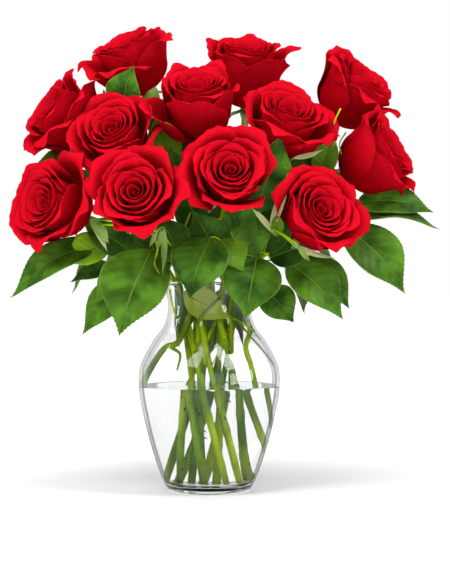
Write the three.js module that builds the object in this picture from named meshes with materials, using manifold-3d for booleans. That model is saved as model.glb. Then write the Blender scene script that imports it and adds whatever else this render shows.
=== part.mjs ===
// A dozen roses in a glass ginger vase with water.
// Millimetres, +Z up. The origin is the middle of the vase's flat underside, and -Y is the front.
import * as THREE from 'three';
import { mergeVertices } from 'three/addons/utils/BufferGeometryUtils.js';
import Module from 'manifold-3d';

const wasm = await Module();
wasm.setup();

// ---- vase and water -------------------------------------------------------------------------
const VASE_SIDES = 22;
const VASE_WALL = 3;
const VASE_FLOOR = 9;
const FLOOR_EDGE = [[40, VASE_FLOOR], [46, 12.5]];
const CAVITY_FROM = 20;
const WATER_TOP = 113;
const CLEARANCE = 0.3;
// Radius and height of the outside, from the foot to the rim.
const VASE_OUTLINE = [
  [39, 0], [47.5, 6], [53.5, 20], [62.5, 47], [70.5, 78], [75.8, 108],
  [74.5, 134], [61.5, 160], [50, 176], [45, 192], [45.4, 207], [48.5, 222],
];
const RIM_CREST = [46.8, 224];

// ---- stems ----------------------------------------------------------------------------------
const STEM_RADIUS = 3.3;
const STEM_SIDES = 5;
const STEM_STEPS = 7;
const NECK_HEIGHT = 200;
const HIP_LENGTH = 14;
const HIP_RADIUS = 6;
const HIP_SIDES = 5;
const SEPAL_COUNT = 5;
const SEPAL_LENGTH = 27;
const SEPAL_WIDTH = 7;
const SEPAL_THICKNESS = 2;
const SEPAL_DROOP = 42;
const SEPAL_DROOP_SPREAD = 14;
const SEPAL_TURN_SPREAD = 14;
const BEND_PULL = 0.38;
const BEND_SAMPLES = 60;

// ---- leaves ---------------------------------------------------------------------------------
const LEAF_THICKNESS = 1.5;
const LEAF_TEETH = 4;
const BROAD_LEAF = 43;
const TOOTH_DEPTH = 0.1;
const LEAF_FOLD = 0.22;
const LEAF_ARCH = 0.1;
const STALK_RADIUS = 1.5;
const STALK_SAMPLES = 8;
const BARE_STALK_SHARE = 0.25;
const SAFE_MARGIN = 1.05;
const SAFE_THICKNESS = 3;
// A leaf that would meet a neighbour is turned by the first of these [swing, pitch] pairs, in
// degrees, that keeps it clear.
const BENDS = [
  [0, 0], [8, 0], [-8, 0], [0, 8], [0, -8], [16, 0], [-16, 0], [0, 16], [0, -16], [12, 12], [-12, 12],
  [12, -12], [-12, -12], [26, 0], [-26, 0], [0, 26], [0, -26], [26, 18], [-26, 18], [26, -18], [-26, -18],
  [38, 0], [-38, 0], [0, 38], [0, -38], [38, 30], [-38, 30], [38, -30], [-38, -30],
];

// The middle of a leaf's stalk sways by the first of these that keeps it clear.
const SWAYS = [[0, 0, 6], [0, 0, -4], [8, 0, 4], [-8, 0, 4], [0, 8, 4], [0, -8, 4], [14, 0, 0], [-14, 0, 0]];

// ---- blooms ---------------------------------------------------------------------------------
const BLOOM_HEIGHT = 60;
const BLOOM_SEAT = 58;
const PETAL_THICKNESS = 1.8;
const PETAL_FOOT = 1;
const CLAW_SHARE = 0.06;
const PETAL_FLOW_STEPS = 40;
const SURFACE_NUDGE = 0.01;
const GOLDEN_TURN = 137.5;
const MIDDLE_TURN = 120;
const GUARD_TURN = 72;
const HEART_COUNT = 13;
const MIDDLE_COUNT = 3;
const GUARD_COUNT = 5;
const SHOWN_HEART = [3, 7];
const SLIM = 0.84;
const CORE_OUTLINE = [[0, 0.4], [7, 0.8], [16, 3.4], [21.5, 9], [21.5, 15], [16, 26], [16, 43], [0, 41]];
const CORE_SIDES = 5;

// Each rose: where the middle of its opening stands, the way it faces, how far it has opened
// (0 to 1), its size, its draw, and where its stem passes the neck and stands in the vase
// (angle in degrees and radius; the foot has its height too when it leans on the wall).
const ROSES = [
  { opening: [-97, 44, 492], faces: [-0.37, -0.35, 0.86], open: 1, size: 1.04, draw: 11,
    neck: [118, 28], foot: [215, 33] },
  { opening: [44, 60, 472], faces: [0.05, -0.38, 0.92], open: 0.7, size: 0.98, draw: 12,
    neck: [70, 30], foot: [168, 36] },
  { opening: [165, 45, 443], faces: [0.62, -0.35, 0.7], open: 0.8, size: 1.02, draw: 13,
    neck: [34, 30], foot: [140, 30] },
  { opening: [-183, 18, 424], faces: [-0.75, -0.35, 0.55], open: 1, size: 1, draw: 14,
    neck: [165, 30], foot: [262, 32] },
  { opening: [-105, -50, 398], faces: [-0.25, -0.8, 0.55], open: 0.7, size: 1, draw: 15,
    neck: [190, 13], foot: [250, 15] },
  { opening: [-11, -46, 432], faces: [-0.05, -0.55, 0.83], open: 0.35, size: 1, draw: 16,
    neck: [100, 13], foot: [160, 15] },
  { opening: [87, -45, 406], faces: [0.25, -0.6, 0.75], open: 0.7, size: 1.04, draw: 17,
    neck: [10, 13], foot: [70, 15] },
  { opening: [197, -8, 364], faces: [0.8, -0.35, 0.45], open: 0.4, size: 1.04, draw: 18,
    neck: [358, 30], foot: [98, 34] },
  { opening: [-180, -60, 309], faces: [-0.55, -0.8, 0.2], open: 0.7, size: 1.02, draw: 19,
    neck: [205, 30], foot: [300, 34] },
  { opening: [-81, -121, 320], faces: [-0.15, -0.93, 0.33], open: 0.9, size: 1.06, draw: 20,
    neck: [244, 30], foot: [338, 30] },
  { opening: [28, -114, 342], faces: [0.05, -0.93, 0.35], open: 0.6, size: 1.02, draw: 21,
    neck: [282, 30], foot: [12, 51, 36] },
  { opening: [120, -92, 303], faces: [0.3, -0.88, 0.35], open: 0.7, size: 1.06, draw: 22,
    neck: [320, 30], foot: [52, 40, 12] },
];

// Each leaf: the rose whose stem bears it, the height where it leaves the stem, and its leaflets,
// the one at the end first. A leaflet has its base, its tip, its width and, where it matters, the
// way that its upper side faces.
const LEAVES = [
  // right side
  { rose: 8, height: 262, leaflets: [
    { base: [150, -18, 276], tip: [202, -34, 213], width: 50 },
    { base: [160, -4, 306], tip: [240, -12, 297], width: 34, faces: [0, -0.75, 0.65] },
    { base: [158, -10, 288], tip: [246, -20, 279], width: 26, faces: [0.1, -0.5, 0.85] },
    { base: [120, 16, 272], tip: [176, 52, 240], width: 40 },
  ] },
  // lower right, in front
  { rose: 12, height: 236, leaflets: [
    { base: [84, -44, 244], tip: [140, -62, 187], width: 46 },
    { base: [104, -30, 252], tip: [150, -36, 197], width: 34 },
    { base: [58, -50, 216], tip: [89, -58, 183], width: 42 },
  ] },
  // front, right of the middle
  { rose: 11, height: 246, leaflets: [
    { base: [50, -64, 250], tip: [38, -90, 188], width: 60, faces: [0, -0.9, 0.4] },
    { base: [36, -50, 292], tip: [52, -70, 248], width: 42, faces: [0.1, -0.9, 0.4] },
  ] },
  // front, left of the middle
  { rose: 11, height: 258, leaflets: [
    { base: [2, -68, 270], tip: [-20, -94, 209], width: 60, faces: [-0.1, -0.9, 0.5] },
    { base: [12, -66, 268], tip: [36, -84, 236], width: 36, faces: [0.1, -0.85, 0.5] },
  ] },
  // front left, the largest
  { rose: 10, height: 238, leaflets: [
    { base: [-60, -62, 258], tip: [-92, -92, 171], width: 72, faces: [-0.1, -0.95, 0.35] },
    { base: [-82, -36, 244], tip: [-120, -48, 203], width: 30 },
    { base: [-84, -24, 230], tip: [-134, -42, 170], width: 36 },
  ] },
  // far left
  { rose: 9, height: 246, leaflets: [
    { base: [-118, -30, 268], tip: [-209, -52, 211], width: 44, faces: [-0.3, -0.85, 0.5] },
    { base: [-106, -14, 262], tip: [-153, -26, 245], width: 36, faces: [0, -0.9, 0.4] },
    { base: [-100, -12, 240], tip: [-148, -22, 226], width: 26, faces: [0, -0.75, 0.65] },
  ] },
  // between the upper left roses
  { rose: 1, height: 330, leaflets: [
    { base: [-93, 2, 408], tip: [-82, -16, 456], width: 42, faces: [-0.3, -0.9, 0.2] },
    { base: [-104, 22, 396], tip: [-116, 14, 434], width: 24, faces: [-0.3, -0.9, 0.2] },
    { base: [-58, 4, 382], tip: [-50, -6, 420], width: 26, faces: [0.2, -0.95, 0.1] },
  ] },
  { rose: 6, height: 300, leaflets: [
    { base: [-40, -18, 350], tip: [-56, -14, 404], width: 34, faces: [0, -0.95, 0.2] },
    { base: [-34, -34, 330], tip: [-40, -52, 366], width: 32, faces: [0.1, -0.95, 0.2] },
  ] },
  // left, behind
  { rose: 4, height: 300, leaflets: [
    { base: [-138, 30, 352], tip: [-192, 18, 354], width: 40, faces: [-0.1, -0.6, 0.8] },
    { base: [-118, 38, 338], tip: [-160, 66, 330], width: 40 },
    { base: [-112, 16, 336], tip: [-160, 0, 326], width: 36, faces: [-0.3, -0.5, 0.8] },
  ] },
  // between the roses right of the middle
  { rose: 7, height: 290, leaflets: [
    { base: [70, -44, 346], tip: [86, -96, 386], width: 24, faces: [0.15, -0.98, 0.1] },
    { base: [46, -20, 308], tip: [14, -36, 352], width: 36, faces: [0, -0.95, 0.2] },
  ] },
  { rose: 3, height: 300, leaflets: [
    { base: [96, 6, 350], tip: [138, -6, 343], width: 36, faces: [0, -0.7, 0.7] },
    { base: [92, 20, 358], tip: [128, 14, 384], width: 36, faces: [0, -0.9, 0.4] },
    { base: [112, 34, 338], tip: [166, 56, 344], width: 40 },
  ] },
  // the back
  { rose: 2, height: 290, leaflets: [
    { base: [52, 92, 330], tip: [60, 146, 290], width: 50 },
    { base: [66, 76, 340], tip: [112, 108, 330], width: 42 },
    { base: [26, 84, 340], tip: [-6, 130, 332], width: 42 },
  ] },
  { rose: 2, height: 235, leaflets: [
    { base: [30, 70, 262], tip: [28, 124, 200], width: 54 },
    { base: [48, 60, 270], tip: [94, 92, 236], width: 44 },
    { base: [14, 62, 272], tip: [-28, 98, 244], width: 44 },
  ] },
  { rose: 1, height: 270, leaflets: [
    { base: [-66, 76, 320], tip: [-92, 128, 282], width: 50 },
    { base: [-82, 64, 334], tip: [-132, 88, 326], width: 42 },
    { base: [-46, 76, 334], tip: [-34, 124, 330], width: 42 },
  ] },
  { rose: 1, height: 232, leaflets: [
    { base: [-54, 52, 254], tip: [-92, 96, 198], width: 52 },
    { base: [-66, 38, 262], tip: [-122, 50, 232], width: 42 },
    { base: [-36, 58, 262], tip: [-40, 106, 232], width: 42 },
  ] },
  { rose: 3, height: 236, leaflets: [
    { base: [74, 44, 264], tip: [124, 82, 206], width: 52 },
    { base: [84, 28, 272], tip: [142, 30, 240], width: 40 },
  ] },
  { rose: 4, height: 256, leaflets: [
    { base: [-90, 22, 272], tip: [-154, 34, 216], width: 46 },
    { base: [-70, 32, 270], tip: [-112, 70, 262], width: 38 },
  ] },
];

const COLOURS = {
  glass: 0xe6eeec,
  water: 0xd7e4e0,
  petal: 0xbe0a18,
  leaf: 0x3f7a2a,
};

// A repeatable draw of numbers from 0 to 1.
class Draw {
  constructor(seed) {
    this.state = seed * 7919 + 17;
  }

  next() {
    this.state = (this.state * 1664525 + 1013904223) % 4294967296;
    return this.state / 4294967296;
  }

  // A number from -spread to spread.
  around(spread) {
    return (this.next() * 2 - 1) * spread;
  }
}

function vector(numbers) {
  return new THREE.Vector3(...numbers);
}

function degrees(angle) {
  return THREE.MathUtils.degToRad(angle);
}

// ---- solids ---------------------------------------------------------------------------------
function solidOfGeometry(geometry) {
  const bare = geometry.clone();
  bare.deleteAttribute('normal');
  bare.deleteAttribute('uv');
  const merged = mergeVertices(bare, 1e-4);
  return solidOfLists(Array.from(merged.attributes.position.array), Array.from(merged.index.array));
}

function solidOfLists(positions, triangles) {
  const mesh = new wasm.Mesh({
    numProp: 3,
    vertProperties: Float32Array.from(positions),
    triVerts: Uint32Array.from(triangles),
  });
  return new wasm.Manifold(mesh);
}

// Joined pieces as one body: inner hollows are filled and loose scraps are left out.
function oneBody(solids) {
  let joined = solids[0];
  for (const solid of solids.slice(1)) {
    joined = joined.add(solid);
  }
  const bodies = joined.decompose();
  bodies.sort((a, b) => b.volume() - a.volume());
  return bodies[0];
}

function geometryOfSolid(solid) {
  const mesh = solid.getMesh();
  const geometry = new THREE.BufferGeometry();
  geometry.setAttribute('position', new THREE.BufferAttribute(new Float32Array(mesh.vertProperties), 3));
  geometry.setIndex(new THREE.BufferAttribute(new Uint32Array(mesh.triVerts), 1));
  geometry.computeVertexNormals();
  return geometry;
}

function meshOf(name, geometry, colour, roughness) {
  const material = new THREE.MeshStandardMaterial({ color: colour, roughness, metalness: 0 });
  const mesh = new THREE.Mesh(geometry, material);
  mesh.name = name;
  return mesh;
}

// A lathe about +Z from [radius, height] points that start and end on the axis.
function turned(points, sides) {
  const profile = points.map(([radius, height]) => new THREE.Vector2(radius, height));
  const geometry = new THREE.LatheGeometry(profile, sides);
  geometry.rotateX(Math.PI / 2);
  return solidOfGeometry(geometry);
}

function polygon(radius, sides) {
  const corners = [];
  for (let side = 0; side < sides; side += 1) {
    const angle = (side / sides) * Math.PI * 2;
    corners.push(new THREE.Vector2(radius * Math.cos(angle), radius * Math.sin(angle)));
  }
  return new THREE.Shape(corners);
}

function tube(path, radius, sides, steps) {
  const shape = polygon(radius, sides);
  return solidOfGeometry(new THREE.ExtrudeGeometry(shape, { steps, extrudePath: path, curveSegments: 1 }));
}

// ---- vase -----------------------------------------------------------------------------------
// An open outline moved towards the axis by a distance, square to itself.
function inset(outline, distance) {
  return outline.map(([radius, height], index) => {
    const before = outline[Math.max(index - 1, 0)];
    const after = outline[Math.min(index + 1, outline.length - 1)];
    const along = new THREE.Vector2(after[0] - before[0], after[1] - before[1]).normalize();
    return [radius - along.y * distance, height + along.x * distance];
  });
}

function cavityOutline() {
  const walls = inset(VASE_OUTLINE, VASE_WALL);
  return [...FLOOR_EDGE, ...walls.filter((point, index) => VASE_OUTLINE[index][1] >= CAVITY_FROM)];
}

function radiusAt(outline, height) {
  const above = outline.findIndex((point) => point[1] >= height);
  const [lowRadius, low] = outline[above - 1];
  const [highRadius, high] = outline[above];
  return lowRadius + ((highRadius - lowRadius) * (height - low)) / (high - low);
}

function vaseSolid() {
  const cavity = cavityOutline().reverse();
  return turned([[0, 0], ...VASE_OUTLINE, RIM_CREST, ...cavity, [0, VASE_FLOOR]], VASE_SIDES);
}

function waterSolid(stemRoutes) {
  const wet = inset(cavityOutline(), CLEARANCE).filter((point) => point[1] < WATER_TOP);
  const bottom = VASE_FLOOR + CLEARANCE;
  wet[0][1] = bottom;
  const surface = radiusAt(inset(cavityOutline(), CLEARANCE), WATER_TOP);
  let water = turned([[0, bottom], ...wet, [surface, WATER_TOP], [0, WATER_TOP]], VASE_SIDES);
  const holeRadius = (STEM_RADIUS + CLEARANCE) / Math.cos(Math.PI / STEM_SIDES);
  for (const route of stemRoutes) {
    const along = route.neck.clone().sub(route.foot).normalize();
    const start = route.foot.clone().addScaledVector(along, -STEM_RADIUS * 3);
    const hole = new THREE.LineCurve3(start, route.neck);
    water = water.subtract(tube(hole, holeRadius, STEM_SIDES, 1));
  }
  return oneBody([water]);
}

// ---- petals ---------------------------------------------------------------------------------
// The 21 petals of a rose, from the heart outwards. Lengths are in millimetres, angles in
// degrees. "reach" is how far the cup of a petal stands from the rose's axis, "rise" its height.
function petalsOf(rose) {
  const draw = new Draw(rose.draw);
  const open = rose.open;
  const petals = [];
  let turn = draw.next() * 360;
  for (let index = 0; index < HEART_COUNT; index += 1) {
    const place = index / (HEART_COUNT - 1);
    const swell = Math.sin((Math.PI / 2) * Math.min(1, place * 1.4));
    petals.push({
      turn,
      reach: 2.2 + (21 + 3 * open) * place ** 1.05,
      rise: BLOOM_HEIGHT * (0.83 + 0.13 * swell) - 3 * open * (1 - place) + draw.around(0.9),
      root: 0.8 + 1.8 * place,
      belly: 0.55 - 0.1 * place,
      fullness: 1,
      lift: 1.05 + 0.1 * place,
      flare: 2 * place,
      curl: 20 + 50 * place + draw.around(10),
      curlFrom: 0.9 - 0.05 * place,
      edgeCurl: 0.08,
      width: 9 + 24 * place,
      widestAt: 0.55,
      narrowing: 0.15,
      spiral: 0.55 + 0.5 * place,
      roll: 0,
      wave: 0.25 + 0.5 * place,
      point: 0.005,
      rounding: 0.1 + 0.05 * place,
      waves: 5 + draw.around(1),
      phase: draw.next() * 6,
      lean: 0,
    });
    turn += GOLDEN_TURN + draw.around(14);
  }
  for (let index = 0; index < MIDDLE_COUNT; index += 1) {
    const place = index / (MIDDLE_COUNT - 1);
    petals.push({
      turn,
      reach: 25 + 1.5 * place + open,
      rise: BLOOM_HEIGHT * (0.955 - 0.02 * place) + draw.around(1),
      root: 3,
      belly: 0.5,
      fullness: 0.95,
      lift: 1.18,
      flare: 3 + 2 * open,
      curl: 80 + 25 * place + draw.around(12) + 15 * open,
      curlFrom: 0.84 - 0.03 * place,
      edgeCurl: 0.14 + 0.04 * place,
      width: 35 + place,
      widestAt: 0.62,
      narrowing: 0.2,
      spiral: 2.4,
      roll: 0.8 + 1.2 * place,
      wave: 0.9,
      point: 0.015,
      rounding: 0.14,
      waves: 5 + draw.around(1),
      phase: draw.next() * 6,
      lean: 0,
    });
    turn += MIDDLE_TURN + draw.around(9);
  }
  for (let index = 0; index < GUARD_COUNT; index += 1) {
    const place = index / (GUARD_COUNT - 1);
    petals.push({
      turn,
      reach: 31 + 1.5 * place + 1.5 * open,
      rise: BLOOM_HEIGHT * (0.93 - 0.04 * place) + draw.around(1.5),
      root: 3.2,
      belly: 0.52,
      fullness: 0.92,
      lift: 1.26,
      flare: 4 + 6 * open,
      curl: 112 + 22 * place + draw.around(15) + 14 * open,
      curlFrom: 0.76 - 0.05 * place - 0.03 * open,
      edgeCurl: 0.22 + 0.05 * place,
      width: 36,
      widestAt: 0.64,
      narrowing: 0.25,
      spiral: 2.6,
      roll: 2 + 2 * place,
      wave: 1.2,
      point: 0.03,
      rounding: 0.16,
      waves: 5 + draw.around(1),
      phase: draw.next() * 6,
      lean: (2 + 5 * place) * open,
    });
    turn += GUARD_TURN + draw.around(7);
  }
  return petals;
}

function smoothStep(value) {
  const held = Math.min(1, Math.max(0, value));
  return held * held * (3 - 2 * held);
}

// The cup of a petal before its lip curls: radius and height at a share of its length.
function cupPoint(petal, share) {
  const filled = Math.sin((Math.PI / 2) * Math.min(1, Math.max(0, share / petal.belly))) ** petal.fullness;
  const flared = petal.flare * Math.max(0, share - petal.belly);
  const radius = petal.root + (petal.reach - petal.root) * filled + flared;
  return new THREE.Vector2(radius, petal.rise * Math.max(share, 0) ** petal.lift);
}

// A point of a petal: across from -1 to 1, along from 0 at its foot to 1 at its lip.
function petalPoint(petal, across, along) {
  const side = Math.abs(across);
  const length = 1 - petal.rounding * side ** 2.3 + petal.point * Math.exp(-((across / 0.12) ** 2));
  const curlFrom = petal.curlFrom - petal.edgeCurl * side ** 2 * (across > 0 ? 1 : 0.3);
  let radius = petal.root;
  let height = PETAL_FOOT;
  const steps = Math.max(1, Math.round(along * PETAL_FLOW_STEPS));
  const stride = (along * length) / steps;
  for (let step = 0; step < steps; step += 1) {
    const share = (step + 0.5) * stride;
    const flow = cupPoint(petal, share + stride / 2).sub(cupPoint(petal, share - stride / 2));
    const curled = Math.min(1.3, Math.max(0, (share - curlFrom) / (1 - curlFrom))) ** 1.3;
    const angle = Math.atan2(flow.y, flow.x) - degrees(petal.curl) * curled;
    radius += Math.cos(angle) * flow.length();
    height += Math.sin(angle) * flow.length();
  }
  const grown = Math.sin((Math.PI / 2) * Math.min(1, along / petal.widestAt));
  const opened = CLAW_SHARE + (1 - CLAW_SHARE) * grown;
  const past = Math.max(0, (along - petal.widestAt) / (1 - petal.widestAt));
  const halfWidth = petal.width * opened * (1 - petal.narrowing * past ** 2);
  const swing = (across * halfWidth) / Math.max(cupPoint(petal, along).x, 1.2);
  const rim = Math.max(along ** 4, side ** 4 * smoothStep(along * 1.5));
  radius += petal.spiral * swing * smoothStep(along * 5);
  radius += petal.roll * side ** 3 * smoothStep((along - 0.25) * 1.6);
  radius += petal.wave * Math.sin(petal.waves * across + petal.phase + 2 * along) * rim;
  height += petal.wave * 0.8 * Math.cos(petal.waves * 1.4 * across + petal.phase * 2) * rim;
  radius = Math.max(radius, 0.25);
  const angle = degrees(petal.turn) + swing;
  const point = new THREE.Vector3(radius * Math.cos(angle), radius * Math.sin(angle), height);
  const outward = new THREE.Vector3(-Math.sin(degrees(petal.turn)), Math.cos(degrees(petal.turn)), 0);
  point.z -= PETAL_FOOT;
  point.applyAxisAngle(outward, degrees(petal.lean));
  point.z += PETAL_FOOT;
  return point;
}

// A petal as a thin lens: two faces that part in the middle and meet all round the edge.
function petalSolid(petal, columns, rows, from) {
  const rowLength = columns + 1;
  const positions = [];
  const upper = [];
  const lower = [];
  for (let row = 0; row <= rows; row += 1) {
    for (let column = 0; column <= columns; column += 1) {
      const across = (column / columns) * 2 - 1;
      const along = from + (1 - from) * (row / rows);
      const point = petalPoint(petal, across, along);
      const onEdge = row === 0 || row === rows || column === 0 || column === columns;
      upper.push(positions.length / 3);
      if (onEdge) {
        lower.push(positions.length / 3);
        positions.push(...point.toArray());
        continue;
      }
      const sideways = petalPoint(petal, across + SURFACE_NUDGE, along).sub(point);
      const onwards = petalPoint(petal, across, along + SURFACE_NUDGE).sub(point);
      const normal = sideways.cross(onwards).setLength(PETAL_THICKNESS / 2);
      positions.push(...point.clone().add(normal).toArray());
      lower.push(positions.length / 3);
      positions.push(...point.sub(normal).toArray());
    }
  }
  const triangles = [];
  for (let row = 0; row < rows; row += 1) {
    for (let column = 0; column < columns; column += 1) {
      const a = row * rowLength + column;
      const b = a + 1;
      const c = a + rowLength + 1;
      const d = a + rowLength;
      triangles.push(upper[a], upper[b], upper[c], upper[a], upper[c], upper[d]);
      triangles.push(lower[a], lower[c], lower[b], lower[a], lower[d], lower[c]);
    }
  }
  return solidOfLists(positions, triangles);
}

function bloomSolid(rose) {
  const petals = petalsOf(rose).map((petal) => ({ ...petal, width: petal.width * SLIM }));
  const guards = petals.splice(HEART_COUNT + MIDDLE_COUNT);
  const middles = petals.splice(HEART_COUNT);
  const parts = [
    turned(CORE_OUTLINE, CORE_SIDES),
    ...SHOWN_HEART.map((index) => petalSolid(petals[index], 3, 2, 0.6)),
    ...middles.map((petal) => petalSolid(petal, 3, 2, 0.16)),
    ...guards.map((petal) => petalSolid(petal, 3, 3, 0.12)),
  ];
  const bloom = oneBody(parts);
  return placed(bloom, seatOf(rose), facingOf(rose), rose.size);
}

// ---- places ---------------------------------------------------------------------------------
function facingOf(rose) {
  return vector(rose.faces).normalize();
}

function seatOf(rose) {
  return vector(rose.opening).addScaledVector(facingOf(rose), -BLOOM_SEAT * rose.size);
}

function placed(solid, position, axis, size) {
  const turnTo = new THREE.Quaternion().setFromUnitVectors(new THREE.Vector3(0, 0, 1), axis);
  const matrix = new THREE.Matrix4().compose(position, turnTo, new THREE.Vector3(size, size, size));
  return solid.transform(matrix.elements);
}

function ringPoint([angle, radius], height) {
  return new THREE.Vector3(radius * Math.cos(degrees(angle)), radius * Math.sin(degrees(angle)), height);
}

// The way of a stem: straight from its foot to the neck of the vase, then bending to its bloom.
function stemRoute(rose) {
  const neck = ringPoint(rose.neck, NECK_HEIGHT);
  const leansOnWall = rose.foot.length > 2;
  const foot = ringPoint(rose.foot, leansOnWall ? rose.foot[2] : VASE_FLOOR);
  const along = neck.clone().sub(foot).normalize();
  if (!leansOnWall) {
    foot.z += CLEARANCE + STEM_RADIUS * Math.sqrt(1 - along.z ** 2);
  }
  const top = seatOf(rose).addScaledVector(facingOf(rose), -HIP_LENGTH * 0.6);
  const pull = neck.distanceTo(top) * BEND_PULL;
  const bend = new THREE.CubicBezierCurve3(
    neck,
    neck.clone().addScaledVector(along, pull),
    top.clone().addScaledVector(facingOf(rose), -pull),
    top,
  );
  return { foot, neck, bend };
}

function stemTube(route) {
  const path = new THREE.CurvePath();
  path.add(new THREE.LineCurve3(route.foot, route.neck));
  path.add(route.bend);
  return tube(path, STEM_RADIUS, STEM_SIDES, STEM_STEPS);
}

function hipSolid(rose) {
  const outline = [[0, -HIP_LENGTH], [3, -HIP_LENGTH], [HIP_RADIUS, -5], [4.6, 0], [0, 0]];
  return placed(turned(outline, HIP_SIDES), seatOf(rose), facingOf(rose), 1);
}

// A sepal: a narrow blade with a keel below, from its base inside the hip to its tip.
function sepalSolid(base, tip, out) {
  const across = new THREE.Vector3(-out.y, out.x, 0).multiplyScalar(SEPAL_WIDTH / 2);
  const keel = tip.clone().sub(base).cross(across).setLength(SEPAL_THICKNESS);
  const corners = [base.clone().sub(across), base.clone().add(across), base.clone().add(keel), tip];
  const positions = corners.flatMap((corner) => corner.toArray());
  const solid = solidOfLists(positions, [0, 1, 2, 0, 3, 1, 1, 3, 2, 2, 3, 0]);
  return solid.volume() < 0 ? solidOfLists(positions, [0, 2, 1, 0, 1, 3, 1, 2, 3, 2, 0, 3]) : solid;
}

function sepalSolids(rose) {
  const draw = new Draw(rose.draw + 50);
  const sepals = [];
  for (let index = 0; index < SEPAL_COUNT; index += 1) {
    const turn = degrees((index / SEPAL_COUNT) * 360 + draw.around(SEPAL_TURN_SPREAD));
    const out = new THREE.Vector3(Math.cos(turn), Math.sin(turn), 0);
    const droop = degrees(SEPAL_DROOP + draw.around(SEPAL_DROOP_SPREAD));
    const base = out.clone().multiplyScalar(HIP_RADIUS - 2).setZ(-3);
    const tip = base.clone().addScaledVector(out, SEPAL_LENGTH * Math.cos(droop));
    tip.z -= SEPAL_LENGTH * Math.sin(droop);
    sepals.push(placed(sepalSolid(base, tip, out), seatOf(rose), facingOf(rose), 1));
  }
  return sepals;
}

// ---- leaves ---------------------------------------------------------------------------------
function leafHalfWidth(share) {
  return Math.sin(Math.PI * share ** 0.75) ** 0.8 / 2;
}

// A leaflet with its stalk as one body: four lines of points (left edge, upper rib, right edge,
// lower rib) run from the first joint of the stalk to the tip, and the blade's edge is toothed.
function leafletSolid(leaflet, joints, teeth, thickness, margin) {
  const run = leaflet.tip.clone().sub(leaflet.base);
  const length = run.length() * margin;
  const along = run.clone().normalize();
  const across = along.clone().cross(leaflet.faces).normalize();
  const normal = across.clone().cross(along).normalize();
  const rib = (share) => leaflet.base.clone()
    .addScaledVector(along, length * share)
    .addScaledVector(normal, length * LEAF_ARCH * 16 * (share * (1 - share)) ** 2);
  const positions = [];
  const triangles = [];
  const add = (point, direction, distance) => {
    positions.push(...point.clone().addScaledVector(direction, distance).toArray());
    return positions.length / 3 - 1;
  };
  const lines = { left: [], upper: [], right: [], lower: [] };
  const radius = STALK_RADIUS + (thickness - LEAF_THICKNESS) / 2;
  const addRing = (point, sideways, upwards) => {
    lines.left.push(add(point, sideways, -radius));
    lines.right.push(add(point, sideways, radius));
    lines.upper.push(add(point, upwards, radius));
    lines.lower.push(add(point, upwards, -radius));
  };
  joints.forEach((joint, index) => {
    const next = joints[index + 1] ?? leaflet.base;
    const onwards = next.clone().sub(joint).normalize();
    const sideways = onwards.clone().cross(leaflet.faces).normalize();
    addRing(joint, sideways, sideways.clone().cross(onwards).normalize());
  });
  addRing(leaflet.base, across, normal);
  const stalkEnd = joints.length;
  for (let step = 1; step < teeth; step += 1) {
    lines.upper.push(add(rib(step / teeth), normal, thickness / 2));
    lines.lower.push(add(rib(step / teeth), normal, -thickness / 2));
  }
  const tip = add(leaflet.tip, along, length - run.length());
  lines.upper.push(tip);
  lines.lower.push(tip);
  for (let step = 1; step < teeth * 2; step += 1) {
    const share = step / (teeth * 2);
    const bite = step % 2 === 0 ? 1 - TOOTH_DEPTH : 1;
    const reach = leafHalfWidth(share) * leaflet.width * margin * bite;
    const folded = rib(share).addScaledVector(normal, reach * LEAF_FOLD);
    lines.left.push(add(folded, across, -reach));
    lines.right.push(add(folded, across, reach));
  }
  triangles.push(lines.left[0], lines.right[0], lines.upper[0]);
  triangles.push(lines.left[0], lines.lower[0], lines.right[0]);
  for (const [edge, rightHand] of [[lines.left, false], [lines.right, true]]) {
    for (const [ribs, above] of [[lines.upper, true], [lines.lower, false]]) {
      const faces = [];
      for (let ring = 0; ring < stalkEnd; ring += 1) {
        faces.push([ribs[ring], edge[ring], edge[ring + 1]], [ribs[ring], edge[ring + 1], ribs[ring + 1]]);
      }
      for (let tooth = 0; tooth < teeth; tooth += 1) {
        const [before, crest, after] = edge.slice(stalkEnd + tooth * 2, stalkEnd + tooth * 2 + 3);
        const inner = ribs[stalkEnd + tooth];
        const outer = ribs[stalkEnd + tooth + 1];
        faces.push([inner, before, crest], [inner, crest, outer]);
        if (tooth < teeth - 1) {
          faces.push([outer, crest, after]);
        }
      }
      for (const [a, b, c] of faces) {
        triangles.push(...(rightHand === above ? [a, b, c] : [a, c, b]));
      }
    }
  }
  return solidOfLists(positions, triangles);
}

// The way that a leaflet's upper side looks: up and away from the vase unless it is given.
function facingOfLeaflet(leaflet) {
  if (leaflet.faces) {
    return vector(leaflet.faces).normalize();
  }
  const middle = vector(leaflet.base).add(vector(leaflet.tip)).setZ(0).normalize();
  return middle.multiplyScalar(0.75).setZ(0.65);
}

function bentLeaflet(leaflet, [swing, pitch]) {
  const base = vector(leaflet.base);
  const run = vector(leaflet.tip).sub(base);
  const faces = facingOfLeaflet(leaflet);
  const level = run.clone().cross(new THREE.Vector3(0, 0, 1)).normalize();
  for (const direction of [run, faces]) {
    direction.applyAxisAngle(level, degrees(pitch));
    direction.applyAxisAngle(new THREE.Vector3(0, 0, 1), degrees(swing));
  }
  return { base, tip: base.clone().add(run), width: leaflet.width, faces };
}

function teethOf(leaflet) {
  return leaflet.width < BROAD_LEAF ? LEAF_TEETH - 1 : LEAF_TEETH;
}

function boxesMeet(first, second) {
  const meetAlong = (axis) => first.min[axis] <= second.max[axis] && second.min[axis] <= first.max[axis];
  return [0, 1, 2].every(meetAlong);
}

function isClear(solid, neighbours) {
  const box = solid.boundingBox();
  return neighbours.every((other) => !boxesMeet(box, other.box) || solid.intersect(other.solid).isEmpty());
}

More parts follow.
